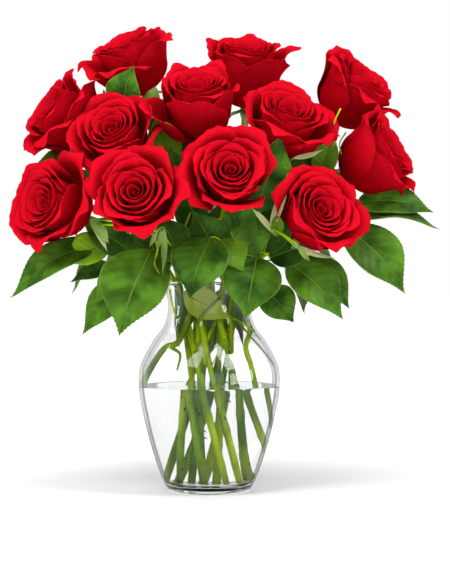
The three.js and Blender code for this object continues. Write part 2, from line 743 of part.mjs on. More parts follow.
function stemPointAt(route, height) {
  const points = route.bend.getPoints(BEND_SAMPLES);
  const miss = (point) => Math.abs(point.z - height);
  return points.reduce((best, point) => (miss(point) < miss(best) ? point : best));
}

// The point nearest to another one on a line through joints, past the bare share at its start.
function nearestOn(joints, goal) {
  const points = [];
  for (let index = 0; index + 1 < joints.length; index += 1) {
    for (let step = 0; step <= STALK_SAMPLES; step += 1) {
      points.push(joints[index].clone().lerp(joints[index + 1], step / STALK_SAMPLES));
    }
  }
  const free = points.slice(Math.floor(points.length * BARE_STALK_SHARE));
  return free.reduce((best, point) => (point.distanceTo(goal) < best.distanceTo(goal) ? point : best));
}

// The first way of turning a leaflet, and of swaying its stalk, that keeps it clear.
function settled(leaflet, jointsOf, sways, neighbours) {
  for (const sway of sways) {
    for (const bend of BENDS) {
      const joints = jointsOf(sway);
      const bent = bentLeaflet(leaflet, bend);
      const swollen = leafletSolid(bent, joints, teethOf(leaflet), SAFE_THICKNESS, SAFE_MARGIN);
      if (isClear(swollen, neighbours)) {
        return { joints, bent };
      }
    }
  }
  return { joints: jointsOf(sways[0]), bent: bentLeaflet(leaflet, BENDS[0]) };
}

function leafSolids(leaf, route, neighbours) {
  const start = stemPointAt(route, leaf.height);
  const solids = [];
  let mainLine = [];
  leaf.leaflets.forEach((leaflet, index) => {
    const base = vector(leaflet.base);
    const jointsOf = index === 0
      ? (sway) => [start, start.clone().lerp(base, 0.5).add(vector(sway))]
      : () => [nearestOn(mainLine, base)];
    const found = settled(leaflet, jointsOf, index === 0 ? SWAYS : [SWAYS[0]], neighbours);
    if (index === 0) {
      mainLine = [...found.joints, base];
    }
    solids.push(leafletSolid(found.bent, found.joints, teethOf(leaflet), LEAF_THICKNESS, 1));
  });
  return solids;
}

// ---- the whole ------------------------------------------------------------------------------
const group = new THREE.Group();
const routes = ROSES.map(stemRoute);
const vase = vaseSolid();
const water = waterSolid(routes);
group.add(meshOf('vase', geometryOfSolid(vase), COLOURS.glass, 0.05));
group.add(meshOf('water', geometryOfSolid(water), COLOURS.water, 0.05));

const blooms = ROSES.map(bloomSolid);
const stems = ROSES.map((rose, index) => {
  return oneBody([stemTube(routes[index]), hipSolid(rose), ...sepalSolids(rose)]);
});
LEAVES.forEach((leaf) => {
  const own = leaf.rose - 1;
  const others = [vase, water, ...blooms, ...stems.filter((stem, index) => index !== own)];
  const neighbours = others.map((solid) => ({ solid, box: solid.boundingBox() }));
  stems[own] = oneBody([stems[own], ...leafSolids(leaf, routes[own], neighbours)]);
});

const twoDigits = (index) => String(index + 1).padStart(2, '0');
blooms.forEach((bloom, index) => {
  group.add(meshOf(`bloom_${twoDigits(index)}`, geometryOfSolid(bloom), COLOURS.petal, 0.6));
});
stems.forEach((stem, index) => {
  group.add(meshOf(`stem_${twoDigits(index)}`, geometryOfSolid(stem), COLOURS.leaf, 0.5));
});

export default group;
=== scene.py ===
"""A dozen red roses in a clear glass vase with water, dressed for the render.

Sizes in the tables are millimetres; every piece is built in metres in the frame's own place.
The origin is the middle of the vase's flat underside, +Z is up and -Y is the front.
"""
import logging
import math
from dataclasses import dataclass, replace
from enum import Enum
from typing import Callable, Optional, Union

import bpy
import numpy as np
from mathutils import Matrix, Quaternion, Vector


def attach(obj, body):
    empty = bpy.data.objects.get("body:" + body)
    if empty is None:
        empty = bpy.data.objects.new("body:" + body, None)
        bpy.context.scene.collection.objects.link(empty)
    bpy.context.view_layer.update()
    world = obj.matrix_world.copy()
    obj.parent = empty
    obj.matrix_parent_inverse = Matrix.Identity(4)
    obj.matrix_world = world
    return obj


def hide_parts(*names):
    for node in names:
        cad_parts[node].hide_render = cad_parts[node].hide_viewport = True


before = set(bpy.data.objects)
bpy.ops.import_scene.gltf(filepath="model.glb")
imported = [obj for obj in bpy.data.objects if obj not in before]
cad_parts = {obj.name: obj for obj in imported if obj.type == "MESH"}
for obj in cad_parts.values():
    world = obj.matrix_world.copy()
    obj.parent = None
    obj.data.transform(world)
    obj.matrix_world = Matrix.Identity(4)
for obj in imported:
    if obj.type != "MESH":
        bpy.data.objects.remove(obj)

LOG = logging.getLogger("roses")
MM = 0.001
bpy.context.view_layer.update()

Triple = tuple[float, float, float]
Colour = tuple[float, float, float, float]
Outline = tuple[tuple[float, float], ...]

WHITE: Colour = (1, 1, 1, 1)
FULL_CIRCLE = 360.0


# ---- named options ----------------------------------------------------------------------------
class Slot(Enum):
    """The record's material slots."""

    GLASS = "glass"
    WATER = "water"
    PETALS = "petals"
    LEAVES = "leaves"


class Ring(Enum):
    """The layers of petals of a rose, from the heart outwards."""

    HEART = (13, 137.5, 14.0)
    MIDDLE = (3, 120.0, 9.0)
    GUARD = (5, 72.0, 7.0)

    def __init__(self, count: int, turn: float, turn_spread: float) -> None:
        """Names a layer's values.

        Args:
            count: How many petals it has.
            turn: Degrees from one petal to the next.
            turn_spread: How far a petal strays from that.
        """
        self.count = count
        self.turn = turn
        self.turn_spread = turn_spread

    def share(self, index: int) -> float:
        """Returns 0 for the layer's first petal, up to 1 for its last."""
        return index / (self.count - 1)


# ---- shader graphs ----------------------------------------------------------------------------
def by_node(operation: str, swapped: bool = False) -> Callable[["Signal", "Number"], "Signal"]:
    """Makes a method of a signal and another value that adds a Math node.

    Args:
        operation: The node's operation.
        swapped: Whether the signal comes second.

    Returns:
        The method.
    """
    def method(signal: "Signal", other: "Number") -> "Signal":
        """Adds the node."""
        values = (other, signal) if swapped else (signal, other)
        return signal.graph.maths(operation, *values)

    return method


class Signal:
    """A socket of a material's graph that Python's operators work on."""

    def __init__(self, graph: "Graph", socket: bpy.types.NodeSocket) -> None:
        """Keeps the socket.

        Args:
            graph: The graph that the socket belongs to.
            socket: An output socket.
        """
        self.graph = graph
        self.socket = socket

    __add__ = by_node("ADD")
    __radd__ = by_node("ADD", swapped=True)
    __sub__ = by_node("SUBTRACT")
    __rsub__ = by_node("SUBTRACT", swapped=True)
    __mul__ = by_node("MULTIPLY")
    __rmul__ = by_node("MULTIPLY", swapped=True)
    __pow__ = by_node("POWER")
    at_most = by_node("MINIMUM")
    at_least = by_node("MAXIMUM")

    def absolute(self) -> "Signal":
        """Returns the value without its sign."""
        return self.graph.maths("ABSOLUTE", self)

    def fraction(self) -> "Signal":
        """Returns what is left past the whole number."""
        return self.graph.maths("FRACT", self)

    def held(self) -> "Signal":
        """Returns the value held between 0 and 1."""
        return self.at_least(0.0).at_most(1.0)

    def step(self, low: float, high: float) -> "Signal":
        """Rises smoothly from 0 at one value to 1 at another.

        Args:
            low: The value that gives 0.
            high: The value that gives 1; it may be below the first.

        Returns:
            The smoothed share.
        """
        made = self.graph.node("ShaderNodeMapRange", {"interpolation_type": "SMOOTHSTEP", "clamp": True},
                               {"Value": self, "From Min": low, "From Max": high})
        return self.graph.signal(made)


Number = Union[Signal, float, int]
Values = Union[Signal, np.ndarray]


class Graph:
    """A material, or the surroundings, with its nodes."""

    def __init__(self, block: Union[bpy.types.Material, bpy.types.World]) -> None:
        """Starts with no nodes.

        Args:
            block: The material or the world.
        """
        self.block = block
        block.use_nodes = True
        self.tree = block.node_tree
        self.tree.nodes.clear()

    @classmethod
    def material(cls, name: str) -> "Graph":
        """Starts a new material."""
        return cls(bpy.data.materials.new(name))

    def node(self, kind: str, settings: Optional[dict] = None,
             inputs: Optional[dict] = None) -> bpy.types.Node:
        """Adds a node.

        Args:
            kind: The node's type.
            settings: Its properties.
            inputs: Values or signals by socket name or number.

        Returns:
            The node.
        """
        made = self.tree.nodes.new(kind)
        for key, value in (settings or {}).items():
            setattr(made, key, value)
        for key, value in (inputs or {}).items():
            socket = made.inputs[key]
            if isinstance(value, Signal):
                self.tree.links.new(value.socket, socket)
            else:
                socket.default_value = value
        return made

    def maths(self, operation: str, *values: Number) -> Signal:
        """Adds a Math node.

        Args:
            operation: The node's operation.
            values: Its values or signals.

        Returns:
            The result.
        """
        return self.signal(self.node("ShaderNodeMath", {"operation": operation}, dict(enumerate(values))))

    def signal(self, node: bpy.types.Node, output: Union[str, int] = 0) -> Signal:
        """Wraps a node's output."""
        return Signal(self, node.outputs[output])

    def place(self) -> Signal:
        """Returns the place on the object, in metres."""
        return self.signal(self.node("ShaderNodeTexCoord"), "Object")

    def surface_share(self) -> tuple[Signal, Signal]:
        """Reads the piece's own map.

        Returns:
            Across from 0 to 1, and along from 0 to 1.
        """
        mapped = self.node("ShaderNodeUVMap", {"uv_map": "UVMap"})
        across, along, _ = self.parts(self.signal(mapped))
        return across, along

    def own_value(self, name: str) -> Signal:
        """Returns a value that the mesh carries."""
        return self.signal(self.node("ShaderNodeAttribute", {"attribute_name": name}), "Fac")

    def point(self, x: Number, y: Number, z: Number = 0.0) -> Signal:
        """Joins three values into a place."""
        return self.signal(self.node("ShaderNodeCombineXYZ", None, {0: x, 1: y, 2: z}))

    def noise(self, where: Signal, scale: float, detail: float = 3.0, rough: float = 0.5) -> Signal:
        """Adds noise at a place.

        Args:
            where: The place.
            scale: How fine it is.
            detail: How many layers it has.
            rough: How much the finer layers show.

        Returns:
            A value of about 0 to 1.
        """
        made = self.node("ShaderNodeTexNoise", None,
                         {"Vector": where, "Scale": scale, "Detail": detail, "Roughness": rough})
        return self.signal(made, 0)

    def cells(self, where: Signal, scale: float, feature: str = "DISTANCE_TO_EDGE") -> Signal:
        """Returns the distance to the nearest edge between cells, or with "F1" to a cell's point."""
        made = self.node("ShaderNodeTexVoronoi", {"feature": feature}, {"Vector": where, "Scale": scale})
        return self.signal(made, 0)

    def parts(self, where: Signal) -> tuple[Signal, Signal, Signal]:
        """Splits a place or a direction into its three values."""
        made = self.node("ShaderNodeSeparateXYZ", None, {0: where})
        return self.signal(made, 0), self.signal(made, 1), self.signal(made, 2)

    def blend(self, share: Number, first: Union[Signal, Colour], second: Union[Signal, Colour]) -> Signal:
        """Mixes two colours.

        Args:
            share: How much of the second.
            first: The first colour.
            second: The second colour.

        Returns:
            The mixed colour.
        """
        made = self.node("ShaderNodeMix", {"data_type": "RGBA"}, {0: share, 6: first, 7: second})
        return self.signal(made, 2)

    def bump(self, height: Signal, distance: float, strength: float = 1.0) -> Signal:
        """Turns a height into a normal.

        Args:
            height: The height, about 0 to 1.
            distance: The depth in metres that 1 stands for.
            strength: How much of it shows.

        Returns:
            The normal.
        """
        made = self.node("ShaderNodeBump", None,
                         {"Height": height, "Distance": distance, "Strength": strength})
        return self.signal(made)

    def principled(self, inputs: dict) -> Signal:
        """Adds the main shader with these inputs."""
        return self.signal(self.node("ShaderNodeBsdfPrincipled", None, inputs))

    def let_through(self, shader: Signal, colour: Colour, share: float) -> Signal:
        """Lets some light through a thin surface.

        Args:
            shader: The surface.
            colour: What the light takes on.
            share: How much of it gets through.

        Returns:
            The mixed surface.
        """
        through = self.signal(self.node("ShaderNodeBsdfTranslucent", None, {"Color": colour}))
        return self.signal(self.node("ShaderNodeMixShader", None, {0: share, 1: shader, 2: through}))

    def finish(self, shader: Signal, inside: Optional[Signal] = None) -> bpy.types.Material:
        """Ends a material with its surface.

        Args:
            shader: The surface.
            inside: What fills the piece, if anything does.

        Returns:
            The material.
        """
        filled = {"Volume": inside} if inside else {}
        self.node("ShaderNodeOutputMaterial", None, {"Surface": shader, **filled})
        return self.block


# ---- finishes ---------------------------------------------------------------------------------
VEIN_COUNT = 7.0
VEIN_LEAN = 0.16
VEIN_CURVE = 0.10
VEIN_OFFSET = 0.42


def vein_phase(along: Values, side: Values, which: Values) -> Values:
    """Counts a leaf's side veins; one lies where the count is a whole number.

    Args:
        along: From 0 at the leaf's base to 1 at its tip.
        side: From 0 at the rib to 1 at the margin.
        which: 0 on one side of the rib and 1 on the other.

    Returns:
        The count.
    """
    return (along - side * VEIN_LEAN - side * side * VEIN_CURVE) * VEIN_COUNT + which * VEIN_OFFSET


@dataclass(frozen=True)
class PetalFinish:
    """Velvety red petals that let a little light through, painted darker as shade towards each petal's foot
    and in the heart.
    """

    name: str = "rose_petal"
    # deep: the dark red of the veins and cloud, and of the painted shade at the petals' feet and in the heart
    deep: Colour = (0.34, 0.0006, 0.0045, 1)
    bright: Colour = (0.71, 0.0055, 0.0195, 1)
    rim: Colour = (0.52, 0.003, 0.014, 1)
    glow: Colour = (0.80, 0.001, 0.008, 1)
    glow_share: float = 0.17

    VEINS_ACROSS = 30
    VEINS_ALONG = 2.6
    CLOUD_SCALE = 38.0
    PILE_SCALE = 1500.0
    RIM = (0.972, 0.998)
    RELIEF = 0.0005

    def material(self) -> bpy.types.Material:
        """Builds the material.

        Returns:
            The material.
        """
        graph = Graph.material(self.name)
        across, along = graph.surface_share()
        place = graph.place()
        veins = graph.noise(graph.point(across * self.VEINS_ACROSS, along * self.VEINS_ALONG), 1.0, 4.0, 0.6)
        cloud = graph.noise(place, self.CLOUD_SCALE, 2.0)
        outer = graph.own_value("tone")
        # Painted shade: darker towards each petal's foot and, through the carried value, on the heart's
        # petals; the veins and the cloud are the petal's own tone
        share = along.step(0.35, 1.0) * 0.85 + veins * 0.3 + cloud * 0.35 - 0.35 + (outer - 1.0) * 0.34
        base = graph.blend(share.held(), self.deep, self.bright)
        side = (across - 0.5).absolute() * 2.0
        edge = along.at_least(side).step(*self.RIM)
        pile = graph.noise(place, self.PILE_SCALE, 2.0)
        shader = graph.principled({
            "Base Color": graph.blend(edge * 0.5, base, self.rim),
            "Roughness": cloud * 0.14 + 0.40,
            "Specular IOR Level": 0.0,
            "Normal": graph.bump(veins * 0.7 + pile * 0.12, self.RELIEF, 0.5),
        })
        return graph.finish(graph.let_through(shader, self.glow, self.glow_share))


@dataclass(frozen=True)
class LeafFinish:
    """A leaf's side, with its rib, side veins and fine net, painted light between the side veins and, on
    shaded leaves, painted shade.
    """

    name: str
    dark: Colour
    light: Colour
    young: Colour
    vein: Colour
    roughness: float
    gloss: float
    vein_share: float
    relief: float
    glow_share: float = 0.12
    glow: Colour = (0.20, 0.46, 0.01, 1)
    # shaded: the painted shade colour that a negative carried value gives leaves deep in the bunch and in the
    # vase's neck
    shaded: Colour = (0.002, 0.012, 0.0004, 1)

    WANDER_SCALE = 260.0
    NET_SCALE = 520.0
    CLOUD_SCALE = 48.0
    VEIN_LINE = (0.93, 1.01)
    RIB_LINE = (0.055, 0.02)
    MARGIN = (0.955, 0.995)
    CLOUDED = (0.28, 0.74)

    def material(self) -> bpy.types.Material:
        """Builds the material.

        Returns:
            The material.
        """
        graph = Graph.material(self.name)
        across, along = graph.surface_share()
        place = graph.place()
        side = (across - 0.5).absolute() * 2.0
        which = (across - 0.5).step(-0.001, 0.001)
        phase = vein_phase(along, side, which)
        off_vein = (phase.fraction() - 0.5).absolute() * 2.0
        wander = graph.noise(place, self.WANDER_SCALE, 2.0)
        line = (off_vein + wander * 0.05).step(*self.VEIN_LINE) * side.step(0.98, 0.3) * along.step(0.97, 0.7)
        rib = (side + along * 0.02).step(*self.RIB_LINE)
        net = graph.cells(place, self.NET_SCALE).step(0.10, 0.0)
        cloud = graph.noise(place, self.CLOUD_SCALE)
        tone = graph.own_value("tone")
        # Painted light between the side veins, so that the veins read as painted shade; the cloud is the
        # leaf's own random tone
        painted_light_between_veins = off_vein.step(1.0, 0.25) * side.step(0.0, 0.25)
        lit = cloud.step(*self.CLOUDED) * 0.80 + painted_light_between_veins * 0.12 - 0.02
        base = graph.blend(lit.at_least(0.0), self.dark, self.light)
        base = graph.blend((tone + side * 0.10 - 0.05).held(), base, self.young)
        # Painted shade: a negative carried value darkens the leaf towards the shaded colour
        base = graph.blend((tone * -1.0).held(), base, self.shaded)
        veins = (line * 0.5).at_least(rib)
        base = graph.blend((veins * self.vein_share + net * 0.06).at_most(1.0), base, self.vein)
        base = graph.blend(side.step(*self.MARGIN) * 0.75, base, self.vein)
        height = 1.0 - (line * 0.7 + rib * 0.8 + net * 0.22) + cloud * 0.3
        shader = graph.principled({
            "Base Color": base,
            "Roughness": cloud * 0.16 + self.roughness,
            "Specular IOR Level": self.gloss,
            "Normal": graph.bump(height, self.relief, 0.8),
        })
        return graph.finish(graph.let_through(shader, self.glow, self.glow_share))


@dataclass(frozen=True)
class BarkFinish:
    """Green rose stems with small brown-red scars and fine lengthwise streaks."""

    name: str = "rose_stem"
    green: Colour = (0.100, 0.235, 0.0013, 1)
    pale: Colour = (0.480, 0.660, 0.004, 1)
    scar: Colour = (0.10, 0.010, 0.004, 1)

    STREAKS_ROUND = 700.0
    STREAKS_ALONG = 40.0
    CLOUD_SCALE = 42.0
    SCAR_SCALE = 105.0
    SCAR_SIZE = (0.19, 0.14)
    RELIEF = 0.0004

    def material(self) -> bpy.types.Material:
        """Builds the material.

        Returns:
            The material.
        """
        graph = Graph.material(self.name)
        x, y, z = graph.parts(graph.place())
        fine = graph.point(x * self.STREAKS_ROUND, y * self.STREAKS_ROUND, z * self.STREAKS_ALONG)
        streaks = graph.noise(fine, 1.0)
        cloud = graph.noise(graph.point(x, y, z * 0.3), self.CLOUD_SCALE)
        spots = graph.cells(graph.point(x, y, z * 0.6), self.SCAR_SCALE, "F1")
        marked = (spots + streaks * 0.05).step(*self.SCAR_SIZE)
        base = graph.blend(cloud.step(0.35, 0.66), self.green, self.pale)
        base = graph.blend(streaks * 0.35, base, self.green)
        base = graph.blend(marked * 0.9, base, self.scar)
        shader = graph.principled({
            "Base Color": base,
            "Roughness": cloud * 0.2 + 0.34,
            "Specular IOR Level": 0.11,
            "Normal": graph.bump(streaks * 0.5 + marked * 0.5, self.RELIEF, 0.6),
        })
        return graph.finish(shader)


@dataclass(frozen=True)
class ClearFinish:
    """A clear solid or liquid, with the faint ripple of the real one.

    Where the wall is seen edge on, its colour is painted darker, with dark outline lines beside it:
    painted shade that stands in for the dark surroundings that thick glass shows there. Heights are
    in metres and the lines' limits are how far the surface turns from the eye, from 0 to 1.
    """

    name: str
    refraction: float
    gloss: float
    ripple: float
    ripple_scale: float
    tint: Colour
    thickness: float
    # edge: the painted shade colour where the wall is seen edge on
    edge: Colour = WHITE
    painted_outline_share: float = 0.0
    shown: float = 1.0

    FOOT_FADE = (0.006, 0.020)
    BELLY_FADE = (0.110, 0.160)
    WALL = (0.70, 0.73)
    INNER_LINE = (0.60, 0.64)
    OUTER_LINE = (0.82, 0.88)
    INNER_OUTLINE_SHADE = (0.03, 0.04, 0.04, 1)
    OUTER_OUTLINE_SHADE = (0.22, 0.24, 0.25, 1)

    def material(self) -> bpy.types.Material:
        """Builds the material.

        Returns:
            The material.
        """
        graph = Graph.material(self.name)
        ripple = graph.noise(graph.place(), self.ripple_scale, 1.0)
        facing = graph.signal(graph.node("ShaderNodeLayerWeight", None, {"Blend": 0.5}), "Facing")
        _, _, height = graph.parts(graph.place())
        above_foot = height.step(*self.FOOT_FADE) * 0.8 + 0.2
        above_belly = height.step(*self.BELLY_FADE)
        # Painted shade: the edge-on band and the outline lines darken the colour, less so near the foot
        wall = facing.step(*self.WALL)
        inner_line = facing.step(*self.INNER_LINE) * (1.0 - wall) * above_foot * (1.0 - above_belly * 0.35)
        outer_line = facing.step(*self.OUTER_LINE) * above_foot * self.painted_outline_share
        colour = graph.blend(wall * above_foot, WHITE, self.edge)
        colour = graph.blend(outer_line, colour, self.OUTER_OUTLINE_SHADE)
        shader = graph.principled({
            "Base Color": graph.blend(inner_line * self.painted_outline_share, colour, self.INNER_OUTLINE_SHADE),
            "Roughness": ripple * 0.002,
            "Specular Tint": (self.gloss, self.gloss, self.gloss, 1),
            "IOR": self.refraction,
            "Transmission Weight": 1.0,
            "Alpha": self.shown,
            "Normal": graph.bump(ripple, self.ripple, 0.5),
        })
        inside = graph.node("ShaderNodeVolumeAbsorption", None,
                            {"Color": self.tint, "Density": self.thickness})
        return graph.finish(shader, graph.signal(inside))


@dataclass(frozen=True)
class TableFinish:
    """A plain pale surface that glows a little away from the vase, so that it ends in plain white, and glows
    in a disc under the vase's foot, painted light that stands in for light through the glass.
    """

    name: str = "pale_table"
    colour: Colour = (0.80, 0.80, 0.80, 1)
    grain_colour: Colour = (0.84, 0.84, 0.84, 1)
    unlit: Colour = (0.11, 0.11, 0.11, 1)
    lift: float = 0.6
    near: float = 0.12
    far: float = 0.55

    GRAIN_SCALE = 240.0
    # Painted light: a glowing disc under the vase's foot stands in for the light that the glass lets through
    PAINTED_LIGHT_UNDER_FOOT = (0.046, 0.041)

    def material(self) -> bpy.types.Material:
        """Builds the material.

        Returns:
            The material.
        """
        graph = Graph.material(self.name)
        grain = graph.noise(graph.place(), self.GRAIN_SCALE, 2.0)
        x, y, _ = graph.parts(graph.place())
        away = (x * x + y * y) ** 0.5
        lit = away.step(self.near, self.far).at_least(away.step(*self.PAINTED_LIGHT_UNDER_FOOT))
        return graph.finish(graph.principled({
            "Base Color": graph.blend(grain * 0.2, self.colour, self.grain_colour),
            "Roughness": grain * 0.1 + 0.8,
            "Specular IOR Level": 0.1,
            "Emission Color": graph.blend(lit, self.unlit, WHITE),
            "Emission Strength": self.lift,
        }))


@dataclass(frozen=True)
class PaleSurroundings:
    """White studio surroundings, brightest behind the bouquet and above it."""

    name: str = "pale_surroundings"
    front: float = 0.40
    behind: float = 1.0
    above: float = 0.8
    hidden: float = 0.30

    BEHIND = (0.25, 0.62)
    ABOVE = (0.2, 0.95)

    def world(self) -> bpy.types.World:
        """Builds the surroundings; straight behind everything they are plain white.

        Returns:
            The world.
        """
        graph = Graph(bpy.data.worlds.new(self.name))
        _, depth, height = graph.parts(graph.signal(graph.node("ShaderNodeTexCoord"), "Generated"))
        light = depth.step(*self.BEHIND) * (self.behind - self.front) + self.front
        light = light.at_least(height.step(*self.ABOVE) * self.above)
        path = graph.node("ShaderNodeLightPath")
        direct = graph.signal(path, "Is Camera Ray")
        mirrored = graph.signal(path, "Is Glossy Ray") * (1.0 - graph.signal(path, "Is Transmission Ray"))
        strength = (light + direct * (1.0 - light)) * (1.0 - mirrored * self.hidden)
        background = graph.node("ShaderNodeBackground", None, {"Color": WHITE, "Strength": strength})
        graph.node("ShaderNodeOutputWorld", None, {"Surface": graph.signal(background)})
        return graph.block


# ---- draws and small geometry -----------------------------------------------------------------
class Draw:
    """A repeatable draw of numbers from 0 to 1, the same as the solids use."""

    SEED_STEP, SEED_START = 7919, 17
    FACTOR, TERM, RANGE = 1664525, 1013904223, 2 ** 32

    def __init__(self, seed: int) -> None:
        """Starts the draw.

        Args:
            seed: Its seed.
        """
        self.state = seed * self.SEED_STEP + self.SEED_START

    def next(self) -> float:
        """Returns the next number."""
        self.state = (self.state * self.FACTOR + self.TERM) % self.RANGE
        return self.state / self.RANGE

    def around(self, spread: float) -> float:
        """Returns a number from -spread to spread."""
        return (self.next() * 2 - 1) * spread


def smooth_share(value: np.ndarray) -> np.ndarray:
    """Returns a share from 0 to 1, eased at both ends."""
    held = np.clip(value, 0, 1)
    return held * held * (3 - 2 * held)


def flowing(points: list[tuple[float, float]], per_span: int) -> np.ndarray:
    """Runs a smooth line through points.

    Args:
        points: The points, two numbers each.
        per_span: How many steps lie between two of them.

    Returns:
        The line's points, one in each row.
    """
    given = np.array(points, float)
    padded = np.vstack([2 * given[0] - given[1], given, 2 * given[-1] - given[-2]])
    line = []
    for index in range(1, len(padded) - 2):
        before, start, end, after = padded[index - 1:index + 3]
        for share in np.arange(per_span) / per_span:
            line.append(0.5 * (2 * start + (end - before) * share
                               + (2 * before - 5 * start + 4 * end - after) * share ** 2
                               + (3 * start - before - 3 * end + after) * share ** 3))
    line.append(given[-1])
    return np.array(line)


def square_to(outline: np.ndarray, distance: float) -> np.ndarray:
    """Moves an outline towards the axis, square to itself.

    Args:
        outline: Radius and height in each row.
        distance: How far it moves.

    Returns:
        The moved outline.
    """
    run = np.gradient(outline, axis=0)
    run /= np.linalg.norm(run, axis=1)[:, None]
    return np.column_stack([outline[:, 0] - run[:, 1] * distance, outline[:, 1] + run[:, 0] * distance])


def unit(values: Union[Triple, Vector]) -> Vector:
    """Returns a direction of length 1."""
    return Vector(values).normalized()


def put_in(name: str, data: bpy.types.ID) -> bpy.types.Object:
    """Puts a mesh, a line, a light or a camera into the scene.

    Args:
        name: The object's name.
        data: What it shows.

    Returns:
        The object.
    """
    made = bpy.data.objects.new(name, data)
    bpy.context.scene.collection.objects.link(made)
    return made


# ---- the bench --------------------------------------------------------------------------------
class Bench:
    """Adds primitives, shapes them and hands over finished pieces."""

    def __init__(self) -> None:
        """Starts with no master pieces."""
        self.masters: dict[tuple[int, int], bpy.types.Object] = {}

    @staticmethod
    def clear_selection() -> None:
        """Leaves edit mode and deselects everything."""
        if bpy.context.object is not None and bpy.context.mode != "OBJECT":
            bpy.ops.object.mode_set(mode="OBJECT")
        bpy.ops.object.select_all(action="DESELECT")

    def take(self, piece: bpy.types.Object) -> None:
        """Selects one piece and makes it active.

        Args:
            piece: The piece.
        """
        self.clear_selection()
        piece.select_set(True)
        bpy.context.view_layer.objects.active = piece

    def grid(self, name: str, columns: int, rows: int) -> bpy.types.Object:
        """Adds a flat grid of two by two units with its own map.

        Args:
            name: The piece's name.
            columns: Faces across.
            rows: Faces along.

        Returns:
            The grid, a copy of the one modelled first at this size.
        """
        key = (columns, rows)
        if key not in self.masters:
            self.clear_selection()
            bpy.ops.mesh.primitive_grid_add(x_subdivisions=columns, y_subdivisions=rows, size=2.0)
            master = bpy.context.active_object
            bpy.ops.object.shade_smooth()
            self.masters[key] = master
        return put_in(name, self.masters[key].data.copy())

    @staticmethod
    def places(piece: bpy.types.Object) -> np.ndarray:
        """Reads a mesh's vertices.

        Args:
            piece: The piece.

        Returns:
            One vertex in each row, in metres.
        """
        places = np.empty(len(piece.data.vertices) * 3)
        piece.data.vertices.foreach_get("co", places)
        return places.reshape(-1, 3)

    def shares(self, piece: bpy.types.Object) -> tuple[np.ndarray, np.ndarray]:
        """Reads where a flat grid's vertices lie.

        Args:
            piece: A grid that isn't shaped yet.

        Returns:
            Across from -1 to 1 and along from 0 to 1, for each vertex.
        """
        places = self.places(piece)
        return places[:, 0], (places[:, 1] + 1) / 2

    @staticmethod
    def shape(piece: bpy.types.Object, points: np.ndarray) -> None:
        """Moves a mesh's vertices.

        Args:
            piece: The piece.
            points: Its new vertices in metres.
        """
        piece.data.vertices.foreach_set("co", np.ascontiguousarray(points, float).ravel())
        piece.data.update()

    @staticmethod
    def carry(piece: bpy.types.Object, name: str, value: float) -> None:
        """Stores one value on every vertex of a mesh."""
        layer = piece.data.attributes.new(name, "FLOAT", "POINT")
        layer.data.foreach_set("value", np.full(len(piece.data.vertices), value))

    def join(self, name: str, pieces: list[bpy.types.Object]) -> bpy.types.Object:
        """Joins pieces into one.

        Args:
            name: The name of the whole.
            pieces: The pieces.

        Returns:
            The whole.
        """
        self.clear_selection()
        for piece in pieces:
            piece.select_set(True)
        bpy.context.view_layer.objects.active = pieces[0]
        if len(pieces) > 1:
            bpy.ops.object.join()
        return self.named(bpy.context.active_object, name)

    @staticmethod
    def named(piece: bpy.types.Object, name: str) -> bpy.types.Object:
        """Names a piece and its mesh.

        Args:
            piece: The piece.
            name: Its name.

        Returns:
            The piece.
        """
        piece.name = name
        piece.data.name = name
        return piece

    @staticmethod
    def dress(piece: bpy.types.Object, *finishes: bpy.types.Material) -> bpy.types.Object:
        """Gives a piece its materials.

        Args:
            piece: The piece.
            finishes: The materials, one for each slot.

        Returns:
            The piece.
        """
        for finish in finishes:
            piece.data.materials.append(finish)
        return piece

    def thicken(self, piece: bpy.types.Object, thickness: float, under_slot: int = 0) -> None:
        """Gives a sheet its thickness, half to each side.

        Args:
            piece: The sheet.
            thickness: In millimetres.
            under_slot: How many material slots further the underside takes.
        """
        self.take(piece)
        wall = piece.modifiers.new("wall", "SOLIDIFY")
        wall.thickness = thickness * MM
        wall.offset = 0.0
        wall.material_offset = under_slot
        bpy.ops.object.modifier_apply(modifier=wall.name)

    def tube(self, name: str, points: np.ndarray, radii: np.ndarray, roundness: int = 2) -> bpy.types.Object:
        """Draws a round tube along a line.

        Args:
            name: The piece's name.
            points: The line's points in millimetres.
            radii: The radius at each point in millimetres.
            roundness: How round it is: 1 gives 6 sides, 2 gives 8.

        Returns:
            The closed tube.
        """
        line = bpy.data.curves.new(name, "CURVE")
        line.dimensions = "3D"
        line.bevel_depth = MM
        line.bevel_resolution = roundness
        line.use_fill_caps = True
        spline = line.splines.new("POLY")
        spline.points.add(len(points) - 1)
        spline.points.foreach_set("co", np.column_stack([points * MM, np.ones(len(points))]).ravel())
        spline.points.foreach_set("radius", np.asarray(radii, float))
        self.take(put_in(name, line))
        bpy.ops.object.convert(target="MESH")
        piece = bpy.context.active_object
        self.mend(piece)
        bpy.ops.object.shade_smooth()
        return piece

    def mend(self, piece: bpy.types.Object, distance: float = 1e-6) -> None:
        """Merges doubles and turns the faces outwards.

        Args:
            piece: The piece.
            distance: How close doubles are, in metres.
        """
        self.take(piece)
        bpy.ops.object.mode_set(mode="EDIT")
        bpy.ops.mesh.select_all(action="SELECT")
        bpy.ops.mesh.remove_doubles(threshold=distance)
        bpy.ops.mesh.normals_make_consistent(inside=False)
        bpy.ops.object.mode_set(mode="OBJECT")

